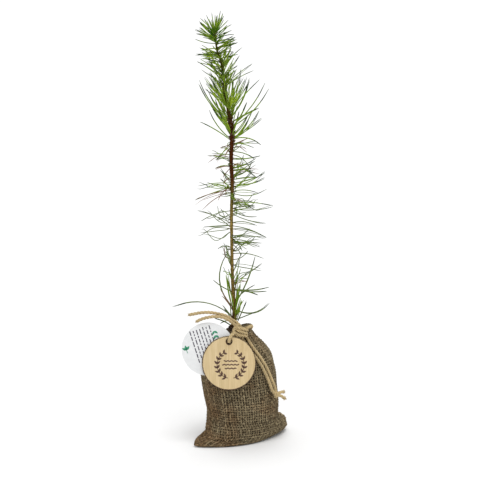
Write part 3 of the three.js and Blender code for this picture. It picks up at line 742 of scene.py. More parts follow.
STEM_FOOT = SOIL_TOP + CLEAR
STEM_TIP = 383
STEM_SHIFT_X = curve_through([
    (99, -8.2), (107, -6.8), (116, -5.5), (126, -5.3), (140, -6.4), (165, -7.2), (215, -7.7), (243, -7),
    (262, -8), (290, -7.2), (302, -8.8), (320, -12.3), (335, -14.4), (346, -15.2), (354, -17),
    (364, -20.4), (STEM_TIP, -22.4),
])
STEM_SHIFT_Y = curve_through([(99, 1), (140, 0), (200, -0.8), (260, 0.8), (310, 0), (STEM_TIP, -2)])
STEM_RADIUS = curve_through([
    (99, 2.6), (104, 2.0), (112, 1.6), (124, 1.3), (150, 1.0), (190, 0.9), (230, 1.0), (250, 1.25),
    (300, 1.3), (320, 1.1), (350, 0.9), (STEM_TIP, 0.6),
])
SLEEVE_WALL = 0.4
TURN_STEP = 137.5
SHOOT_FOOT = 300  # where the green shoot begins


def stem_point(height):
    return np.array([STEM_SHIFT_X(height), STEM_SHIFT_Y(height), float(height)])


def stem_sides(height, turn):
    """Up the stem, away from it towards a compass turn in degrees, and sideways from that."""
    up = unit(stem_point(height + 1) - stem_point(height - 1))
    away = np.array([math.cos(math.radians(turn)), math.sin(math.radians(turn)), 0])
    away = unit(away - up * away.dot(up))
    return up, away, np.cross(up, away)


def sleeve_radius(height):
    return STEM_RADIUS(height) + CLEAR + SLEEVE_WALL


def bark_material():
    """Darkest at the foot, olive brown above it, red brown under the whorl, then the green shoot."""
    nodes = Nodes("bark", 0.8, specular=0.08)
    along = nodes.plus(nodes.axis("Z", 95, 385), nodes.noise(5, (1, 1, 3)), 0.05)
    tones = nodes.ramp(
        along,
        (0.03, (0.03, 0.014, 0.007)), (0.09, (0.07, 0.035, 0.013)), (0.15, (0.16, 0.105, 0.028)),
        (0.40, (0.25, 0.18, 0.05)), (0.48, (0.17, 0.13, 0.03)), (0.54, (0.07, 0.02, 0.003)),
        (0.71, (0.05, 0.012, 0.002)), (0.77, (0.06, 0.045, 0.006)), (1.0, (0.085, 0.1, 0.01)),
    )
    flakes = nodes.ramp(nodes.noise(0.9, (1, 1, 2.2)), (0.38, (0.45, 0.45, 0.45)), (0.62, (1.35, 1.3, 1.2)))
    nodes.colour(nodes.times(tones, flakes))
    nodes.bump(nodes.noise(0.5, (1, 1, 2.5)), 0.25)
    return nodes.material


BARK_SIDES = 22
BARK_STEP = 0.55
CUSHION_FOOT = 107
CUSHION_STEP = 1.45
WOODY_STEM = (225, 315)  # the heights between which the cushions stand out most


def add_stem():
    shape = Shape()
    turns = np.arange(BARK_SIDES) * 360 / BARK_SIDES
    ways = np.radians(turns)[:, None]
    # Each needle sits on a small cushion that runs down the stem, and old ones leave a scar there.
    cushions = np.arange(int((STEM_TIP - CUSHION_FOOT) / CUSHION_STEP))
    cushion_heights = CUSHION_FOOT + cushions * CUSHION_STEP
    cushion_turns = (cushions * TURN_STEP) % 360
    rings = []
    for height in np.arange(STEM_FOOT, STEM_TIP, BARK_STEP):
        _, away, sideways = stem_sides(height, 0)
        base = sleeve_radius(height) - 0.2 - 0.4 * smooth((height - SHOOT_FOOT) / 30)
        off_turn = (turns[:, None] - cushion_turns + 180) % 360 - 180
        off_height = height - cushion_heights
        tapered = hump(off_height, np.where(off_height < 0, 1.9, 0.45))
        relief = (tapered * hump(off_turn, 34)).max(1)
        rough = np.array([noise.noise(Vector((t / 25, height / 2.4, 7))) for t in turns])
        tall = 0.26 if WOODY_STEM[0] < height < WOODY_STEM[1] else 0.18
        radius = base + tall * relief + 0.12 * rough
        spokes = away * np.cos(ways) + sideways * np.sin(ways)
        rings.append(stem_point(height) + radius[:, None] * spokes)
    rings[0][:, 2] = STEM_FOOT
    shape.loft(rings)
    shape.piece("stem_bark", bark_material(), "bark", "stem")


# The needles: the same rule and the same numbers as the solid model's, then carried finer. Each of
# its needles is a pair from one sheath here, and more pairs stand between them within their reach.

# The masses from the bottom up: name, heights on the stem, how many needles the rule grows, their
# length and their rise in degrees at the bottom and the top, curl, the side they favour and how
# strongly, width, stretches and seed. The outline's needles are read from the photograph: height,
# reach to the right, upwards and back, and bow.
MASS_FIELDS = "name from to count length rise curl side bias width steps seed outline".split()
MASS_ROWS = [
    ("collar_needles", 106, 145, 10, (30, 25), (72, 66), 0, 10, 0.6, 0.8, 3, 11, [
        (117, -58, 11, -9, 9), (123, 33, 8, -6, -6), (126, -5, 55, -1, -10.6), (130, 20, 46, -6, -2),
        (143, 34, 3, -5, -2), (142, 32, -2, 5, -1), (143, 24, -4, -9, 1), (133, 20, 13, 6, 1),
        (141, -19, 10, 5, -1), (114, 20, 8, -5, 0),
    ]),
    ("low_needles", 146, 184, 10, (20, 24), (30, 0), -6, 10, 0.7, 0.8, 3, 23, [
        (149, 28, 13, -7, 1), (149, 28, 17, 6, 0), (170, 30, -4, -6, 2), (166, 28, -6, 5, 1),
        (177, 30, -4, -4, 2), (160, 9, 19, -6, 0), (171, 15, 7, 7, -2), (166, -8, 22, -4, 1),
        (183, -13, -1, -4, 2),
    ]),
    ("lower_middle_needles", 185, 221, 18, (26, 28), (0, 0), 2, 0, 0.3, 0.8, 3, 31, [
        (219, 39, 2, 4, -2.5), (217, 24, -7, 9, -2), (214, 32, -7, -8, -2), (202, -32, 15, 6, 2.5),
        (217, -28, -9, -6, 2), (203, 33, -10, -5, 1.5), (206, 24, -1, -9, 1), (188, 27, -6, 6, 2),
        (194, 32, -2, -5, 1),
    ]),
    ("middle_needles", 222, 252, 22, (26, 28), (0, 10), 6, 0, 0.35, 0.8, 3, 43, [
        (224, 39, -1, -6, 1.5), (243, -32, -2, -6, 1), (239, -35, -13, 5, 0.5), (237, 18, 18, -6, -0.5),
        (239, 31, 14, 5, -3), (242, 30, 7, -9, -2.5), (233, 33, 3, 6, -3.5),
    ]),
    ("upper_middle_needles", 253, 281, 16, (20, 22), (12, 16), -10, 0, 0.5, 0.8, 3, 59, [
        (277, -14, -12, -6, 0.5), (259, -15, -3, 6, 1), (266, 27, 3, -7, -1.5), (256, 23, 9, 6, -1),
    ]),
    ("whorl_needles", 282, 305, 17, (30, 37), (38, 52), 16, 0, 0.1, 1.05, 3, 61, [
        (296, 31, 40, -8, -3), (295, 35, 35, 6, -3.5), (301, -29, 37, 4, -3.5), (300, -29, 35, -8, -3),
        (284, -21, 26, 6, -2.5), (283, -29, 17, -6, 1), (284, 25, 26, -5, -3), (299, 26, 12, 12, 0.5),
        (284, 27, -5, -8, 3.5),
    ]),
    ("shoot_needles", 306, 329, 29, (32, 24), (56, 50), 6, 0, 0.15, 1.05, 2, 79, [
        (308, 28, 31, -12, 1), (309, 17, 32, 6, -2), (312, 12, 37, -6, -2), (319, 18, 9, -8, 1),
        (314, -16, 27, -8, 0),
    ]),
    ("leader_needles", 330, 352, 35, (21, 18), (46, 36), 0, 0, 0.1, 1.0, 2, 83, [
        (347, 18, 21, -6, 2), (340, 15, 20, 4, 0), (334, 26, 19, -6, 0), (332, 27, 14, 8, 1),
        (338, -24, 17, -5, 1), (334, -21, 13, 5, 0),
    ]),
    ("upper_leader_needles", 353, 368, 33, (17, 18), (30, 8), 0, 0, 0, 0.95, 2, 97, [(358, 10, 16, -4, -1)]),
    ("tip_needles", 369, 382.5, 48, (19, 16.5), (0, 70), 0, 0, 0, 0.95, 2, 103, [
        (382, -3, 17, 2, 0), (382, 1, 16, -2, 0),
    ]),
]
MASSES = [dict(zip(MASS_FIELDS, row)) for row in MASS_ROWS]
NEEDLE_FLOOR = RIM_HEIGHT + RIM_TILT + 1.5
RISE_SCATTER = 12
TURN_SCATTER = 26
CURL_SCATTER = 14
SWING_SCATTER = 16
LENGTH_SCATTER = 0.18
TRIES = 6
FINER_TRIES = 400
FINER_SEED = 1000  # added to a mass's own seed
FINER_WIDTH = 0.5
FINER_LENGTH = 0.88  # of the model's needles
NEEDLE_STEPS = 10  # stretches of a finer needle
BUD_FOOT = 281
BUDS = 22  # one to a millimetre of stem

# How each mass is carried finer: the shares of its kinds of needle, the seeded pairs added between
# the model's needles, each needle's width, how far a pair parts and how crooked it grows.
FINER = {
    "collar_needles": ({"collar": 0.8, "grey": 0.1, "dry": 0.1}, 2, 0.9, 0.008, 0.02),
    "low_needles": ({"grey": 0.6, "green": 0.3, "dry": 0.1}, 0, 0.7, 0.11, 0.15),
    "lower_middle_needles": ({"grey": 0.75, "green": 0.2, "dry": 0.05}, 0, 0.7, 0.11, 0.15),
    "middle_needles": ({"grey": 0.4, "green": 0.5, "dry": 0.1}, 0, 0.67, 0.08, 0.13),
    "upper_middle_needles": ({"green": 0.75, "grey": 0.1, "dry": 0.15}, 0, 0.67, 0.05, 0.08),
    "whorl_needles": ({"green": 0.6, "fresh": 0.4}, 4, 0.92, 0.04, 0.012),
    "shoot_needles": ({"fresh": 0.65, "green": 0.35}, 8, 0.72, 0.05, 0.02),
    "leader_needles": ({"fresh": 0.6, "green": 0.4}, 16, 0.66, 0.04, 0.02),
    "upper_leader_needles": ({"green": 0.5, "fresh": 0.5}, 8, 0.66, 0.03, 0.015),
    "tip_needles": ({"tip": 0.6, "fresh": 0.25, "green": 0.15}, 6, 0.7, 0.012, 0.008),
}
# More needles that stand out singly, by kind, in the outline lists' terms.
SINGLE = {
    "tip_needles": {
        "tip": [
            (382, -3, 17, 2, 0), (381, -8, 16, -5, 0), (382, -14, 12, 5, 0), (379, -10, 15, -9, 0),
            (381, -15, 10, 2, 0), (382, 0, 15, 5, 0), (380, 3, 14, -9, 0), (382, 6, 13, 3, 0),
            (380, 8, 13, -5, 0), (381, 12, 11, 2, 0), (378, 11, 10, -7, 0), (380, 15, 8, 4, 0),
            (376, -15, 9, 3, 0), (375, -19, 8, -3, 1), (374, -18, 6, 4, 1), (375, 14, 8, -4, 0),
            (371, -20, 4, 2, -1), (370, 16, 8, 1, 0), (372, 9, 9, -8, 0),
        ],
        "shade": [(377, 15, 6, -4, 0), (375, 17, 4, 3, 1), (372, 15, 5, -6, 0), (373, 18, 1, 2, 1)],
    },
    "upper_leader_needles": {
        "fresh": [
            (362, -15, 8, -3, 0), (359, -18, 8, 3, 0), (356, -17, 7, 2, 0), (354, -16, 7, -6, 0),
            (362, 13, 6, -4, 0), (354, 9, 21, 5, -3),
        ],
        "shade": [(367, 16, 4, -5, 0), (361, 14, 2, 4, 1), (357, 17, 4, 2, 0), (355, -14, 2, -3, 0)],
    },
    "leader_needles": {"fresh": [(350, -15, 8, -5, 0), (349, -21, 8, 3, -1), (347, -23, 7, -3, 1)]},
    "upper_middle_needles": {
        "dry": [
            (279, -14, -14, 3, 0), (275, -6, -5, -3, 0), (278, -11, -3, 5, 0), (258, -15, -1, -4, 1),
            (256, -8, -7, 3, 0),
        ],
        "green": [
            (272, 6, 9, -4, 0), (272, 10, 6, 4, 0), (280, 21, -4, -6, 1), (272, 22, -8, 5, 2),
            (265, 27, 4, -6, -1), (269, 18, -15, 6, 3), (261, 24, -13, -5, 1),
        ],
    },
    "middle_needles": {
        "dry": [
            (248, -8, -5, -4, 1), (238, -13, -7, -5, 2), (242, -6, -10, 3, 2), (236, -34, -8, -6, 2),
            (234, -28, -8, -2, 1),
        ],
        "green": [
            (247, 11, 23, -5, -1), (250, 22, 13, 6, 0), (243, 30, 9, 5, -2), (239, 19, 17, -7, -2),
            (240, 30, 7, 4, -2), (235, 25, -1, -5, 1), (246, 25, 1, 8, 1), (238, -11, 10, -4, 0),
            (237, -18, 4, 4, 1),
        ],
    },
    "lower_middle_needles": {"grey": [(191, 10, -11, -5, 1), (192, 17, 10, -8, -2), (200, 32, -9, 5, 2)]},
    "low_needles": {
        "grey": [(185, 9, -11, 4, 1), (181, -5, -1, 4, 0)],
        "green": [(153, 8, 18, 4, 0), (166, -6, 19, 3, 0), (153, -4, 10, -3, 0)],
    },
    "collar_needles": {
        "collar": [
            (109, 7, 30, -3, 2), (110, 5, 26, -4, 1), (113, 3, 24, -4, 1), (109, 10, 23, 3, 2),
            (112, -3, 17, 4, -1), (112, 5, 33, 3, 2), (117, 4, 26, -3, 1), (125, 3, 23, 3, 0),
            (113, 7, 23, -4, 1), (120, 6, 30, -4, 2),
        ],
        "grey": [
            (117, -18, -1, -6, 1), (113, -13, -4, 4, 1), (116, -11, 11, 3, 0), (112, -9, 13, -3, 1),
            (108, -17, 8, -6, 1),
        ],
    },
}
# The kind of the model's own outline needles, where it isn't green.
OUTLINE_KIND = {"collar_needles": "grey", "low_needles": "grey", "lower_middle_needles": "grey"}
# The colours along a kind of needle, each with the share of the length where it ends.
KINDS = {
    "tip": (("heart", 0.45), ("green", 0.75), ("deep", 1)),
    "fresh": (("green", 0.2), ("bright", 0.65), ("green", 0.9), ("deep", 1)),
    "collar": (("olive", 0.3), ("green", 1)),
    "green": (("green", 0.72), ("deep", 1)),
    "shade": (("green", 0.4), ("deep", 1)),
    "grey": (("grey", 0.8), ("deep", 1)),
    "dry": (("dry", 1),),
}
NEEDLE_COLOURS = {
    "bright": (0.33, 0.46, 0.03),
    "green": (0.19, 0.3, 0.024),
    "deep": (0.04, 0.075, 0.016),
    "heart": (0.06, 0.17, 0.006),
    "grey": (0.13, 0.18, 0.05),
    "olive": (0.2, 0.19, 0.025),
    "dry": (0.21, 0.11, 0.06),
}


def needle_root(height, turn):
    """Where a needle stands, in the middle of its sleeve's wall."""
    away = stem_sides(height, turn)[1]
    return stem_point(height) + away * (sleeve_radius(height) - SLEEVE_WALL / 2)


def seeded_needle(needle, steps):
    """The points of a needle that the rule grows."""
    points = [needle_root(needle["height"], needle["turn"])]
    for i in range(steps):
        t = (i + 0.5) / steps
        pitch = math.radians(needle["rise"] + needle["curl"] * t)
        up, away, _ = stem_sides(needle["height"], needle["turn"] + needle["swing"] * t)
        way = away * math.cos(pitch) + up * math.sin(pitch)
        points.append(points[-1] + way * needle["length"] / steps)
    return np.array(points)


def outline_needle(row, steps):
    """The points of a needle that a list gives."""
    height, right, rise, back, bow = row
    root = needle_root(height, math.degrees(math.atan2(back, right)))
    tip = stem_point(height) + np.array([right, back, rise])
    chord = unit(tip - root)
    bowed = unit(np.array([0, 0, 1]) - chord * chord[2]) * bow
    t = np.arange(steps + 1)[:, None] / steps
    return root + (tip - root) * t + bowed * 4 * t * (1 - t)


def whorl_buds():
    """Short scaly stumps round the stem where the whorl's needles stand."""
    shape = Shape()
    random = draws("buds")
    for i in range(BUDS):
        height, turn = BUD_FOOT + i, i * TURN_STEP + random.uniform(-20, 20)
        up, away, _ = stem_sides(height, turn)
        way = unit(away + up * random.uniform(0.7, 1.4))
        reach = np.array([0, 0.35, 0.7, 1]) * random.uniform(2.2, 3.8)
        line = needle_root(height, turn) + way * reach[:, None]
        shape.tube(line, np.array([0.75, 0.8, 0.55, 0.2]) * random.uniform(0.8, 1.15), 7)
    return shape


def stretch_gaps(a0, a1, b0, b1):
    """The shortest distance from one straight stretch to each of many."""
    u, v, w = a1 - a0, b1 - b0, a0 - b0
    uu, uv, vv = u.dot(u), v @ u, (v * v).sum(-1)
    uw, vw = w @ u, (v * w).sum(-1)
    spread = uu * vv - uv * uv
    crossing = np.clip((uv * vw - vv * uw) / np.maximum(spread, 1e-12), 0, 1)
    s = np.where(spread > 1e-9, crossing, 0)
    t = np.clip((uv * s + vw) / vv, 0, 1)
    s = np.clip((uv * t - uw) / uu, 0, 1)
    return np.linalg.norm(w + s[:, None] * u - t[:, None] * v, axis=-1)


class Placed:
    """The straight stretches of the needles placed so far."""

    def __init__(self):
        ends = np.empty((0, 3)), np.empty((0, 3))
        self.columns = [*ends, np.empty(0, int), np.empty(0), np.empty(0, bool)]

    def add(self, points, mass, width):
        count = len(points) - 1
        new = points[:-1], points[1:], np.full(count, mass), np.full(count, width), np.arange(count) == 0
        self.columns = [np.concatenate(pair) for pair in zip(self.columns, new)]

    def clear_of(self, points, mass, width):
        """Whether a needle keeps clear of them all. The first stretches of one mass may meet."""
        starts, ends, masses, widths, firsts = self.columns
        same = masses == mass
        room = (width + widths) / 2 + np.where(same, 0, CLEAR)
        for i, (a, b) in enumerate(zip(points, points[1:])):
            counts = ~same if i == 0 else ~same | ~firsts
            if counts.any() and (stretch_gaps(a, b, starts[counts], ends[counts]) <= room[counts]).any():
                return False
        return True


def clear_of_stem(points, mass, width):
    for i in range(len(points) - 1):
        for t in (0.2, 0.4, 0.6, 0.8, 1):
            p = mix(points[i], points[i + 1], t)
            own = mass["from"] + width < p[2] < mass["to"] + 1 - width
            if p[2] > STEM_TIP + width or (own and i == 0):
                continue
            height = min(p[2], STEM_TIP)
            if np.linalg.norm(p - stem_point(height)) <= sleeve_radius(height) + width / 2 + CLEAR:
                return False
    return True


def clear_of_rest(points, mass, width, ties):
    """Whether a needle keeps clear of the sack's rim, the stem and the cords."""
    if (points[1:, 2] <= NEEDLE_FLOOR).any() or not clear_of_stem(points, mass, width):
        return False
    starts, ends, radii = ties
    room = radii + width / 2 + CLEAR
    return all((stretch_gaps(a, b, starts, ends) > room).all() for a, b in zip(points, points[1:]))


def draw_needle(mass, i, random):
    """The seeded numbers of a mass's needle, or None where fewer should stand."""

    def scatter(amount):
        return (2 * random() - 1) * amount

    along = (i * 0.618034) % 1
    needle = {
        "height": mix(mass["from"] + 1, mass["to"] - 0.2, along),
        "turn": i * TURN_STEP + scatter(TURN_SCATTER),
        "length": mix(*mass["length"], along) * (1 + scatter(LENGTH_SCATTER)),
        "rise": mix(*mass["rise"], along) + scatter(RISE_SCATTER),
        "curl": mass["curl"] + scatter(CURL_SCATTER),
        "swing": scatter(SWING_SCATTER),
    }
    turned_away = 0.5 - 0.5 * math.cos(math.radians(needle["turn"] - mass["side"]))
    return None if random() < mass["bias"] * turned_away else needle


def drawn_needles(mass, seed, offset, tries):
    """The needles that the rule draws for a mass, one after another."""
    random = seeded(seed)
    for i in range(tries):
        needle = draw_needle(mass, i + offset, random)
        if needle:
            yield needle


def model_needles(ties):
    """Every needle of the solid model, as (mass number, kind or None, points, is it listed)."""
    placed, needles = Placed(), []

    def place(number, kind, points):
        mass = MASSES[number]
        width = mass["width"]
        fits = clear_of_rest(points, mass, width, ties) and placed.clear_of(points, number, width)
        if fits:
            placed.add(points, number, width)
            needles.append((number, kind, points, kind is not None))
        return fits

    for number, mass in enumerate(MASSES):
        for row in mass["outline"]:
            place(number, OUTLINE_KIND.get(mass["name"], "green"), outline_needle(row, mass["steps"] + 1))
    for number, mass in enumerate(MASSES):
        made = 0
        for needle in drawn_needles(mass, mass["seed"], 0, mass["count"] * TRIES):
            made += place(number, None, seeded_needle(needle, mass["steps"]))
            if made == mass["count"]:
                break
    return needles


def finer_needles(ties):
    """More needles by the same rule, drawn on from other seeds, shorter and free to cross."""
    needles = []
    for number, mass in enumerate(MASSES):
        wanted = FINER[mass["name"]][1]
        for needle in drawn_needles(mass, mass["seed"] + FINER_SEED, 0.5, FINER_TRIES):
            if not wanted:
                break
            needle["length"] *= FINER_LENGTH
            points = seeded_needle(needle, mass["steps"])
            if clear_of_rest(points, mass, FINER_WIDTH, ties):
                needles.append((number, None, points, False))
                wanted -= 1
    return needles


def single_needles():
    """The needles that are listed one by one, with their kinds."""
    return [
        (number, kind, outline_needle(row, mass["steps"] + 1), True)
        for number, mass in enumerate(MASSES)
        for kind, rows in SINGLE.get(mass["name"], {}).items()
        for row in rows
    ]


def draw_pair(pieces, kind, points, looks, random, listed):
    """A pair of needles along one line, which part a little and grow more or less crooked."""
    _, _, width, spread, crooked = looks
    length = lengths_along(points)[-1]
    line = path_through(points, length / NEEDLE_STEPS)
    _, across, over = frames_along(line)
    t = np.linspace(0, 1, len(line))
    turn = random.uniform(0, 2 * math.pi)
    side = math.cos(turn) * across + math.sin(turn) * over
    parting = random.uniform(0.2, 1) * spread * length
    apart = (0.3 * width + parting * np.sin(math.pi * t**0.8) ** 0.8)[:, None]
    waves = random.standard_normal((2, 2)) * crooked * length
    if listed:
        # A listed pair reads as one needle, and three in ten part.
        waves *= 0.12
        apart *= 0.15 if random.random() < 0.7 else 1.2
    for sign, wave in zip((-1, 1), waves):
        path = line + side * apart * sign * 0.5
        path += across * (wave[0] * np.sin(math.pi * t) ** 2)[:, None]
        path += over * (wave[1] * np.sin(1.6 * math.pi * t) * t)[:, None]
        shortest = 0.86 if not listed else 0.98 if sign < 0 else 0.95
        path = line[0] + (path - line[0]) * random.uniform(shortest, 1)
        if kind == "dry":
            path += np.array([0, 0, 1]) * (t**2 * random.uniform(-0.3, 0.05) * length)[:, None]
        radius = width / 2 * np.where(t < 0.12, 0.7 + 2.5 * t, 1.0) * (1 - 0.75 * t**8)
        if listed:
            radius = radius * (1.15 if sign < 0 else 0.7)
        start = 0
        for colour, end in KINDS[kind]:
            last = round(end * (len(line) - 1))
            pieces[colour].tube(path[start : last + 1], radius[start : last + 1], 5)
            start = last


def draw_sheath(shape, points, size):
    """The sheath that holds a pair, from just under the bark."""
    line = points[0] + unit(points[1] - points[0]) * np.array([-0.5, 0.5, 1.6, 2.6])[:, None]
    shape.tube(line, np.array([0.5, 0.54, 0.46, 0.3]) * size, 6)


def add_needles(ties):
    pieces = {name: Shape() for name in NEEDLE_COLOURS}
    sheaths = {"old": Shape(), "young": Shape()}
    random = draws("needle pairs")
    for number, kind, points, listed in model_needles(ties) + finer_needles(ties) + single_needles():
        looks = FINER[MASSES[number]["name"]]
        kind = kind or random.choice(list(looks[0]), p=list(looks[0].values()))
        draw_pair(pieces, kind, points, looks, random, listed)
        age = "young" if points[0, 2] > SHOOT_FOOT else "old"
        draw_sheath(sheaths[age], points, 0.45 + 0.5 * looks[2])
    stands_for = {
        "bright": ["shoot_needles", "leader_needles", "upper_leader_needles", "tip_needles"],
        "green": ["whorl_needles", "upper_middle_needles", "collar_needles"],
        "grey": ["low_needles", "lower_middle_needles", "middle_needles"],
    }
    for name, shape in pieces.items():
        shown = needle_material("needle " + name, NEEDLE_COLOURS[name], 0.75 if name == "dry" else 0.45)
        shape.piece("needles_" + name, shown, "needles", *stands_for.get(name, []))
    scales = fibre("bud scales", (0.075, 0.03, 0.012), 0.35, 1.2, bump=0.2)
    whorl_buds().piece("whorl_buds", scales, "bark")
    for age, colour in (("old", (0.12, 0.085, 0.03)), ("young", (0.13, 0.16, 0.03))):
        shown = needle_material(age + " sheath", colour, 0.7)
        sheaths[age].piece("sheaths_" + age, shown, "bark")


# The tags. Each is drawn flat with its hole at the origin and its face up, then leant on the sack.

WOOD_TAG_WIDTH = 50
WOOD_TAG_THICK = 3
WOOD_TAG_BEVEL = 0.95
CARD_TAG_WIDTH = 49
CARD_TAG_THICK = 0.5
CARD_TAG_BEVEL = 0.08
TAG_HOLE_WIDTH = 4.6
TAG_TILT = 14.5
TAG_HOLE = np.array([-9.9, -26.3, 99.2])
WOOD_TAG_DROP = 20
CARD_TAG_REACH = 20.5
CARD_TAG_SWING = 20
TAG_FACE = np.array([0, -math.cos(math.radians(TAG_TILT)), math.sin(math.radians(TAG_TILT))])


def tag_matrix(hole):
    return Matrix.Translation(Vector(hole) * MM) @ Matrix.Rotation(math.radians(90 - TAG_TILT), 4, "X")


DISC_SIDES = 128


def disc_with_hole(middle, width, thick, bevel, rim):
    """A round disc with softened edges and a hole at the origin. rim is the mark of its edges."""
    shape = Shape()
    turns = np.arange(DISC_SIDES) * 2 * math.pi / DISC_SIDES
    circle = np.stack([np.cos(turns), np.sin(turns), np.zeros(DISC_SIDES)], 1)
    middle = np.array([*middle, 0.0])

    def ring(share, reach, z):
        """A ring between the hole, at 0, and the outer edge, at 1, moved out by reach."""
        radius = mix(TAG_HOLE_WIDTH / 2, width / 2, share) + reach
        return middle * share + circle * radius + np.array([0, 0, z])

    soft = bevel * 0.3
    corner = [(bevel, 0), (soft, soft), (0, bevel)]
    down = [(cut, thick - deep) for cut, deep in corner] + corner[::-1]
    front = [ring(share, 0, thick) for share in np.linspace(0.03, 0.985, 16)]
    edge = [ring(1, -cut, z) for cut, z in down]
    back = [ring(share, 0, 0) for share in np.linspace(0.985, 0.03, 6)]
    bore = [ring(0, cut, z) for cut, z in reversed(down)]
    shape.loft(front, caps=False)
    shape.loft([front[-1], *edge, back[0]], caps=False, mark=rim)
    shape.loft(back, caps=False)
    shape.loft([back[-1], *bore, front[0]], caps=False, mark=rim)
    return shape


def plates(outline, low, high):
    """An outline on the face at two heights."""
    return [np.column_stack([outline, np.full(len(outline), z)]) for z in (low, high)]


def stroke(shape, points, width, low, high):
    """A line of even width with round ends on the face."""
    points = np.asarray(points, float)
    ahead = unit(np.gradient(points, axis=0))
    half = width / 2
    side = np.stack([-ahead[:, 1], ahead[:, 0]], 1) * half
    first, last = points[:1] - ahead[:1] * half * 0.6, points[-1:] + ahead[-1:] * half * 0.6
    outline = np.concatenate([points - side, last, (points + side)[::-1], first])
    count, total = len(points), len(outline)
    ring = np.arange(total)
    after = (ring + 1) % total
    walls = np.stack([ring, after, after + total, ring + total], -1)
    quads = np.array([(i, i + 1, 2 * count - i - 1, 2 * count - i) for i in range(count - 1)])
    ends = np.array([(count - 1, count, count + 1), (2 * count, 2 * count + 1, 0)])
    flat = plates(outline, low, high)
    shape.add(np.concatenate(flat), walls, quads + total, ends + total, quads[:, ::-1], ends[:, ::-1])


def leaf(shape, base, turn, length, width, low, high):
    """A thin leaf on the face, which points away from its base."""
    t = np.linspace(0, 1, 9)
    side = width / 2 * np.sin(math.pi * t**0.8)
    xs = np.concatenate([t * length, (t * length)[-2:0:-1]])
    ys = np.concatenate([-side, side[-2:0:-1]])
    c, s = math.cos(turn), math.sin(turn)
    outline = np.stack([base[0] + xs * c - ys * s, base[1] + xs * s + ys * c], 1)
    shape.loft(plates(outline, low, high))


def wood_material():
    nodes = Nodes("tag wood", 0.55)
    grain = nodes.noise(0.7, (1, 26, 4), detail=4)
    broad = nodes.noise(5, (1, 9, 4), detail=2)
    tones = (0.3, (0.55, 0.425, 0.225)), (0.5, (0.635, 0.5, 0.285)), (0.7, (0.68, 0.555, 0.335))
    wide = nodes.ramp(broad, (0.35, (0.9, 0.86, 0.78)), (0.65, (1.04, 1.02, 1.0)))
    sides = nodes.ramp(
        nodes.axis("X", -3, 3),
        (0.40, (1, 1, 1)), (0.44, (0.87, 0.8, 0.7)), (0.47, (0.93, 0.89, 0.83)), (0.6, (0.98, 0.965, 0.94)),
    )
    nodes.colour(nodes.times(nodes.times(nodes.ramp(grain, *tones), wide), sides))
    nodes.bump(grain, 0.05)
    return nodes.material


def mottled(name, roughness, size, low, high, bump=None):
    """A colour that wanders between two others, with a bump as (size, height) if there is one."""
    nodes = Nodes(name, roughness)
    nodes.colour(nodes.ramp(nodes.noise(size), (0.3, low), (0.7, high)))
    if bump:
        nodes.bump(nodes.noise(bump[0]), bump[1])
    return nodes.material


def plain_print(name, colour):
    return mottled(name, 0.5, 0.6, shade(colour, 0.8), shade(colour, 1.25))


def engraving():
    """A plain wreath of leaves round three ruled lines."""
    shape = Shape()
    low, high = WOOD_TAG_THICK - 0.15, WOOD_TAG_THICK + 0.04
    middle = np.array([1.5, -WOOD_TAG_DROP - 1.5])
    wreath = 12.5
    for side in (-1, 1):
        turns = np.radians(np.linspace(-78, 62, 30))
        arc = np.stack([side * np.cos(turns), np.sin(turns)], 1) * wreath + middle
        stroke(shape, arc[::side], 0.7, low, high)
        for i, turn in enumerate(np.radians(np.linspace(-70, 58, 8))):
            base = np.array([side * math.cos(turn), math.sin(turn)]) * wreath + middle
            for lean in (-0.75, 0.75):
                leaf(shape, base, math.pi / 2 + side * turn + lean, 4.4 - 0.1 * i, 1.9, low, high)
    for drop, half in ((3.4, 6.2), (0, 7.6), (-3.4, 5.2)):
        xs = np.linspace(-half, half, 24)
        wave = 0.35 * np.sin(xs * 1.9)
        stroke(shape, np.stack([xs + middle[0], middle[1] + drop + wave], 1), 1.1, low, high)
    return shape


def card_print():
    """Ruled bars and two small leaf marks, printed on the card."""
    bars, leaves = Shape(), Shape()
    low, high = CARD_TAG_THICK - 0.1, CARD_TAG_THICK + 0.02
    random = draws("print")
    turn = math.radians(-72)
    way = np.array([math.cos(turn), math.sin(turn)])
    step = np.array([-way[1], way[0]]) * 3.1
    start = np.array([-36.5, 9.5])
    for line in range(7):
        place, reach = random.uniform(0, 1.5), 31 - 0.9 * line
        while place < reach:
            length = random.uniform(1.2, 4.6)
            ends = [start + step * line + way * (place + length * share) for share in (0, 0.5, 1)]
            stroke(bars, ends, 1.0, low, high)
            place += length + random.uniform(1.1, 1.5)
    mark = np.array([-39.2, -8.0])
    for lean in (-0.9, 0, 0.9):
        leaf(leaves, mark, turn + math.pi + lean, 4.6, 2.2, low, high)
    stroke(leaves, [mark + way * d for d in (0, 1.5, 3)], 0.6, low, high)
    other = np.array([-13.8, 9.6])
    for lean in (-0.7, 0.7):
        for base in (other, other + way * 4.2):
            leaf(leaves, base, turn + lean, 4.2, 1.9, low, high)
    return bars, leaves


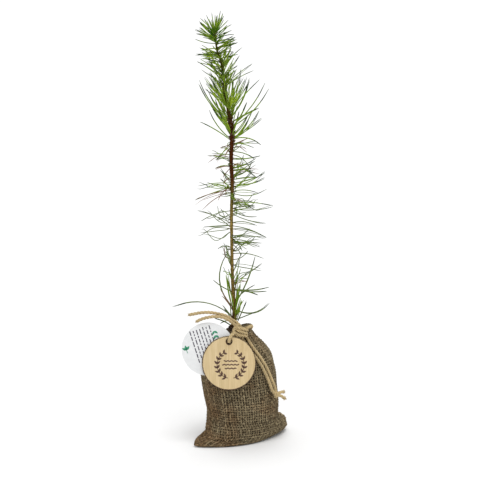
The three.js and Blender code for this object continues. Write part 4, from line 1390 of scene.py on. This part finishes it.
def add_tags():
    matrix = tag_matrix(TAG_HOLE)
    rim = mottled("burnt edge", 0.7, 1.2, (0.035, 0.015, 0.007), (0.11, 0.052, 0.022), (0.4, 0.08))
    disc = disc_with_hole((0, -WOOD_TAG_DROP), WOOD_TAG_WIDTH, WOOD_TAG_THICK, WOOD_TAG_BEVEL, 1)
    disc.piece("wood_tag_disc", [wood_material(), rim], "tag_wood", "wood_tag", matrix=matrix)
    burnt = plain_print("engraved wood", (0.085, 0.038, 0.02))
    engraving().piece("wood_tag_engraving", burnt, "tag_wood", matrix=matrix)

    matrix = tag_matrix(TAG_HOLE - TAG_FACE * (CARD_TAG_THICK + CLEAR))
    swing = math.radians(CARD_TAG_SWING)
    middle = (-CARD_TAG_REACH * math.cos(swing), -CARD_TAG_REACH * math.sin(swing))
    disc = disc_with_hole(middle, CARD_TAG_WIDTH, CARD_TAG_THICK, CARD_TAG_BEVEL, 0)
    card = mottled("card", 0.45, 3, (0.74, 0.75, 0.755), (0.79, 0.8, 0.8), (0.3, 0.01))
    disc.piece("card_tag_disc", card, "tag_card", "card_tag", matrix=matrix)
    bars, leaves = card_print()
    bars.piece("card_tag_bars", plain_print("dark print", (0.07, 0.06, 0.085)), "tag_card", matrix=matrix)
    leaves.piece("card_tag_leaves", plain_print("green print", (0.03, 0.27, 0.14)), "tag_card", matrix=matrix)


# The cords. The routes are the solid model's, and each cord is three plies laid round each other.

CORD_WIDTH = 3.0
LAY_LENGTH = 9.5  # of one turn of the plies
PLY_APART = 0.235  # of the cord's width, from its middle
PLY_RADIUS = 0.285  # of the cord's width
CORD_STEP = 0.55
TAIL_UPPER = [
    (-2.2, -15.6, 113.9), (-7.9, -17.5, 118), (-12.6, -19.2, 121.6), (-19.6, -20.2, 123.8),
    (-28.1, -20.8, 125.3), (-36.1, -20.8, 125), (-46.5, -20, 122.9),
]
TAIL_LOWER = [
    (-4.9, -18.9, 113.3), (-9.3, -21.1, 117.4), (-14.8, -22.4, 120.7), (-22.9, -22.8, 121.9),
    (-29.8, -23, 121), (-34.9, -23, 119.6), (-39.6, -22.5, 117.3),
]
TAG_LOOP = [
    (-3.4, -22.1, 105.2), (-5.2, -26.2, 106.8), (-7.6, -29.9, 105.9), (-9.3, -31.5, 103.4),
    (-9.9, -31.4, 100.8), (-9.9, -29.4, 99.85), (-9.9, -26.3, 99.1), (-9.9, -24, 98.5),
    (-9.2, -22, 99.2), (-7.4, -20.8, 100.6),
]
HEM_STRAND = [(8.2, -17.9, 110.8), (9.9, -16.2, 111.3), (11, -14.2, 110.7)]
KNOT_CROSSING = [
    (-1.6, -15.8, 112.6), (-4.4, -19.6, 110.6), (-5.6, -21.9, 107.4), (-3.6, -22.4, 104.6),
    (1.2, -20.6, 102.6),
]
# The falls lie on the sack: turns round it in degrees, and heights.
FALL_UPPER = [
    (-91, 99), (-88.7, 95.6), (-86.4, 90.8), (-82.1, 85.8), (-78.2, 80.5), (-72.1, 72.7), (-65.9, 62.3),
    (-59.5, 53),
]
FALL_LOWER = [
    (-105, 98), (-99.5, 94.2), (-95.3, 89.7), (-90.5, 85.3), (-85.6, 80.5), (-81.1, 75.1), (-75.8, 67.3),
    (-70.1, 57.9), (-66, 51),
]
FALL_LIFT = 0.8
KNOT = np.array([1.1, -17.75, 106.6])
KNOT_WIDTH = 14.6
KNOT_DEPTH = 9
END_KNOT = (-60, 46)
END_KNOT_WIDTH = 6
WRAP_RADIUS = 1.75
WRAP_STEPS = 8  # to a turn
WRAP_LEAN = 62  # degrees
WRAP_REACH = 1.7  # along the falls, each way
STUBS = [(40.7, -11.5, 47.2), (41.6, -13.5, 41.6)]


def on_sack(place, out=CORD_WIDTH / 2 + CLEAR + FALL_LIFT):
    return sack_point(math.radians(place[0]), place[1], -out)


def rope(shape, points, phase, closed=False, width=CORD_WIDTH):
    """Three plies laid round a route, from a phase in radians."""
    line = path_through(points, CORD_STEP, closed)
    _, across, over = frames_along(line, closed)
    turns = lengths_along(line)[-1] / LAY_LENGTH
    if closed:
        turns = max(1, round(turns))
    twist = 2 * math.pi * turns * np.arange(len(line)) / len(line) + phase
    plies = []
    for ply in range(3):
        way = (twist + 2 * math.pi * ply / 3)[:, None]
        plies.append(line + width * PLY_APART * (np.cos(way) * across + np.sin(way) * over))
    sides = [np.tile(side, (3, 1, 1)) for side in (across, over)]
    size = np.full((3, len(line)), width * PLY_RADIUS)
    shape.tubes(np.array(plies), *sides, size, size, 8, closed)
    return line


def fray(shape, line, spread, length, count, random):
    """Loose fibres where a cord is cut."""
    way = unit(line[-1] - line[-4])
    for _ in range(count):
        start = line[-1] - way * 0.6 + random.uniform(-1, 1, 3) * CORD_WIDTH * 0.3
        out = unit(way + random.standard_normal(3) * spread)
        run = out * (length * random.uniform(0.5, 1))
        hair(shape, start, run, random.standard_normal(3) * 0.3, 0.16, 0.5, 4)


def fuzz(shape, line, random):
    """Fine hairs all along a cord."""
    ahead, across, over = frames_along(line)
    for _ in range(round(len(line) * 0.9)):
        i = random.integers(1, len(line) - 1)
        turn = random.uniform(0, 2 * math.pi)
        out = across[i] * math.cos(turn) + over[i] * math.sin(turn)
        way = unit(out * random.uniform(0.3, 0.8) + ahead[i] * random.uniform(-1, 1))
        start = line[i] + out * (CORD_WIDTH / 2) * 0.85
        hair(shape, start, way * random.uniform(0.6, 1.7), out * 0.2, 0.05, 0.6)


def knot_band(tilt, rise, half, depth, bulge):
    """A closed turn of cord round the knot, falling to the right by its tilt."""
    turns = np.radians(np.arange(0, 360, 30))
    x, y = half * np.cos(turns), depth * np.sin(turns)
    z = rise - math.tan(math.radians(tilt)) * x + bulge * np.maximum(0, -np.sin(turns))
    return KNOT + np.stack([x, y, z], 1)


def add_knot(cord):
    """Three turns of cord, and a strand that crosses them."""
    knot = Shape()
    reach, depth = (KNOT_WIDTH - CORD_WIDTH) / 2, (KNOT_DEPTH - CORD_WIDTH) / 2
    for tilt, rise, half, deep, bulge, phase in (
        (14, 2.6, reach - 0.3, depth, 0.9, 0.3),
        (20, 0.0, reach - 0.5, depth + 0.1, 0.5, 1.1),
        (16, -2.5, reach - 0.9, depth - 0.2, -0.3, 2.0),
    ):
        rope(knot, knot_band(tilt, rise, half, deep, bulge), closed=True, phase=phase)
    rope(knot, KNOT_CROSSING, phase=0.5)
    knot.piece("knot", cord, "cord", "drawstring_knot")


def add_end_knot(cord, middle):
    """Two turns of cord round both falls, and two frayed stubs."""
    shape = Shape()
    wrap = []
    lean = Matrix.Rotation(math.radians(WRAP_LEAN), 3, "Y")
    for step in range(2 * WRAP_STEPS + 1):
        turn = 2 * math.pi * step / WRAP_STEPS
        x, y = WRAP_RADIUS * math.cos(turn), WRAP_RADIUS * math.sin(turn)
        p = Vector((x, y, mix(-WRAP_REACH, WRAP_REACH, step / (2 * WRAP_STEPS))))
        wrap.append(middle + np.array(lean @ p))
    rope(shape, wrap, phase=0.4, width=CORD_WIDTH * 0.92)
    for number, tip in enumerate(STUBS):
        halfway = mix(middle, np.array(tip), 0.5) + np.array([0, 0, 0.7])
        line = rope(shape, [middle, halfway, tip], phase=number)
        fray(shape, line, 0.5, 2.2, 150, draws("stub ends", number))
    shape.piece("end_knot_wraps", cord, "cord", "end_knot")


def add_cords():
    tone = (0.5, 0.385, 0.205)
    cord = fibre("cord", tone, 0.18, 6, sheen=0.1, bump=0.15)
    hairs = Shape()
    add_knot(cord)
    end = on_sack(END_KNOT, END_KNOT_WIDTH / 2 + CLEAR + FALL_LIFT)
    # Each cord starts inside the knot.
    routes = [
        ("tail_upper", "upper_tail", [(1.5, -15.4, 109.5), *TAIL_UPPER]),
        ("tail_lower", "lower_tail", [(0.2, -16.6, 108.6), *TAIL_LOWER]),
        ("tag_loop", "tag_strand", [(0.8, -18.6, 103.2), *TAG_LOOP, (-4.6, -19.6, 103.0)]),
        ("hem_strand", "hem_cord", [KNOT + (3.2, 1.4, 2.2), *HEM_STRAND, (10.4, -11.6, 108.8)]),
        ("fall_upper", "upper_fall", [(3.6, -17.6, 104.2), *map(on_sack, FALL_UPPER), end]),
        ("fall_lower", "lower_fall", [(0.8, -18.2, 103.6), *map(on_sack, FALL_LOWER), end]),
    ]
    for number, (node, name, points) in enumerate(routes):
        shape = Shape()
        line = rope(shape, points, phase=number * 1.3)
        fuzz(hairs, line, draws("cord fuzz", number))
        if node.startswith("tail"):
            fray(shape, line, 0.16, 1.6, 60, draws("tail ends", number))
        shape.piece(name, cord, "cord", node)
    add_end_knot(cord, end)
    hairs.piece("cord_fuzz", fibre("cord fibre", shade(tone, 1.15), 0.15, 5), "cord")


def tie_stretches():
    """What the needles keep clear of, as the solid model has it: starts, ends and radii."""
    across = np.array([KNOT_WIDTH / 2 - KNOT_DEPTH / 2, 0, 0])
    routes = [np.array(route) for route in (TAIL_UPPER, TAIL_LOWER, HEM_STRAND, TAG_LOOP)]
    routes.append(np.array([KNOT - across, KNOT + across]))
    starts = np.concatenate([route[:-1] for route in routes])
    ends = np.concatenate([route[1:] for route in routes])
    radii = np.full(len(starts), CORD_WIDTH / 2 + 0.4)
    radii[-1] = KNOT_DEPTH / 2 + 0.5
    return starts, ends, radii


# The floor and the light


def add_stage():
    """A pale floor that reaches far past the view, an even white world and two broad suns."""
    reach = 30  # metres
    corners = [(-reach, -reach, 0), (reach, -reach, 0), (reach, reach, 0), (-reach, reach, 0)]
    mesh = bpy.data.meshes.new("floor")
    mesh.from_pydata(corners, [], [(0, 1, 2, 3)])
    nodes = Nodes("floor", 0.9, specular=0.0)
    nodes.shader.inputs["Base Color"].default_value = (0.84, 0.84, 0.84, 1)
    mesh.materials.append(nodes.material)
    floor = in_scene("floor", mesh)
    floor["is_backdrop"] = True

    world = bpy.data.worlds.new("studio")
    world.use_nodes = True
    background = world.node_tree.nodes["Background"]
    background.inputs["Color"].default_value = (1, 1, 1, 1)
    background.inputs["Strength"].default_value = 0.72
    bpy.context.scene.world = world
    for name, way, softness, power in (
        ("key", (0.1, -0.42, 1.1), 28, 1.35),
        ("back light", (-0.1, 0.6, 1.2), 40, 0.6),
    ):
        lamp = bpy.data.lights.new(name, "SUN")
        lamp.angle = math.radians(softness)
        lamp.energy = power
        in_scene(name, lamp).rotation_euler = Vector(way).to_track_quat("Z", "Y").to_euler()
    bpy.context.scene.view_settings.view_transform = "Standard"


add_camera()
add_cords()
add_sack()
add_root_ball()
add_stem()
add_needles(tie_stretches())
add_tags()
add_stage()

boxes = {"cad": cad_box, "visual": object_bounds()}
{name: [list(corner) for corner in box] for name, box in boxes.items()}
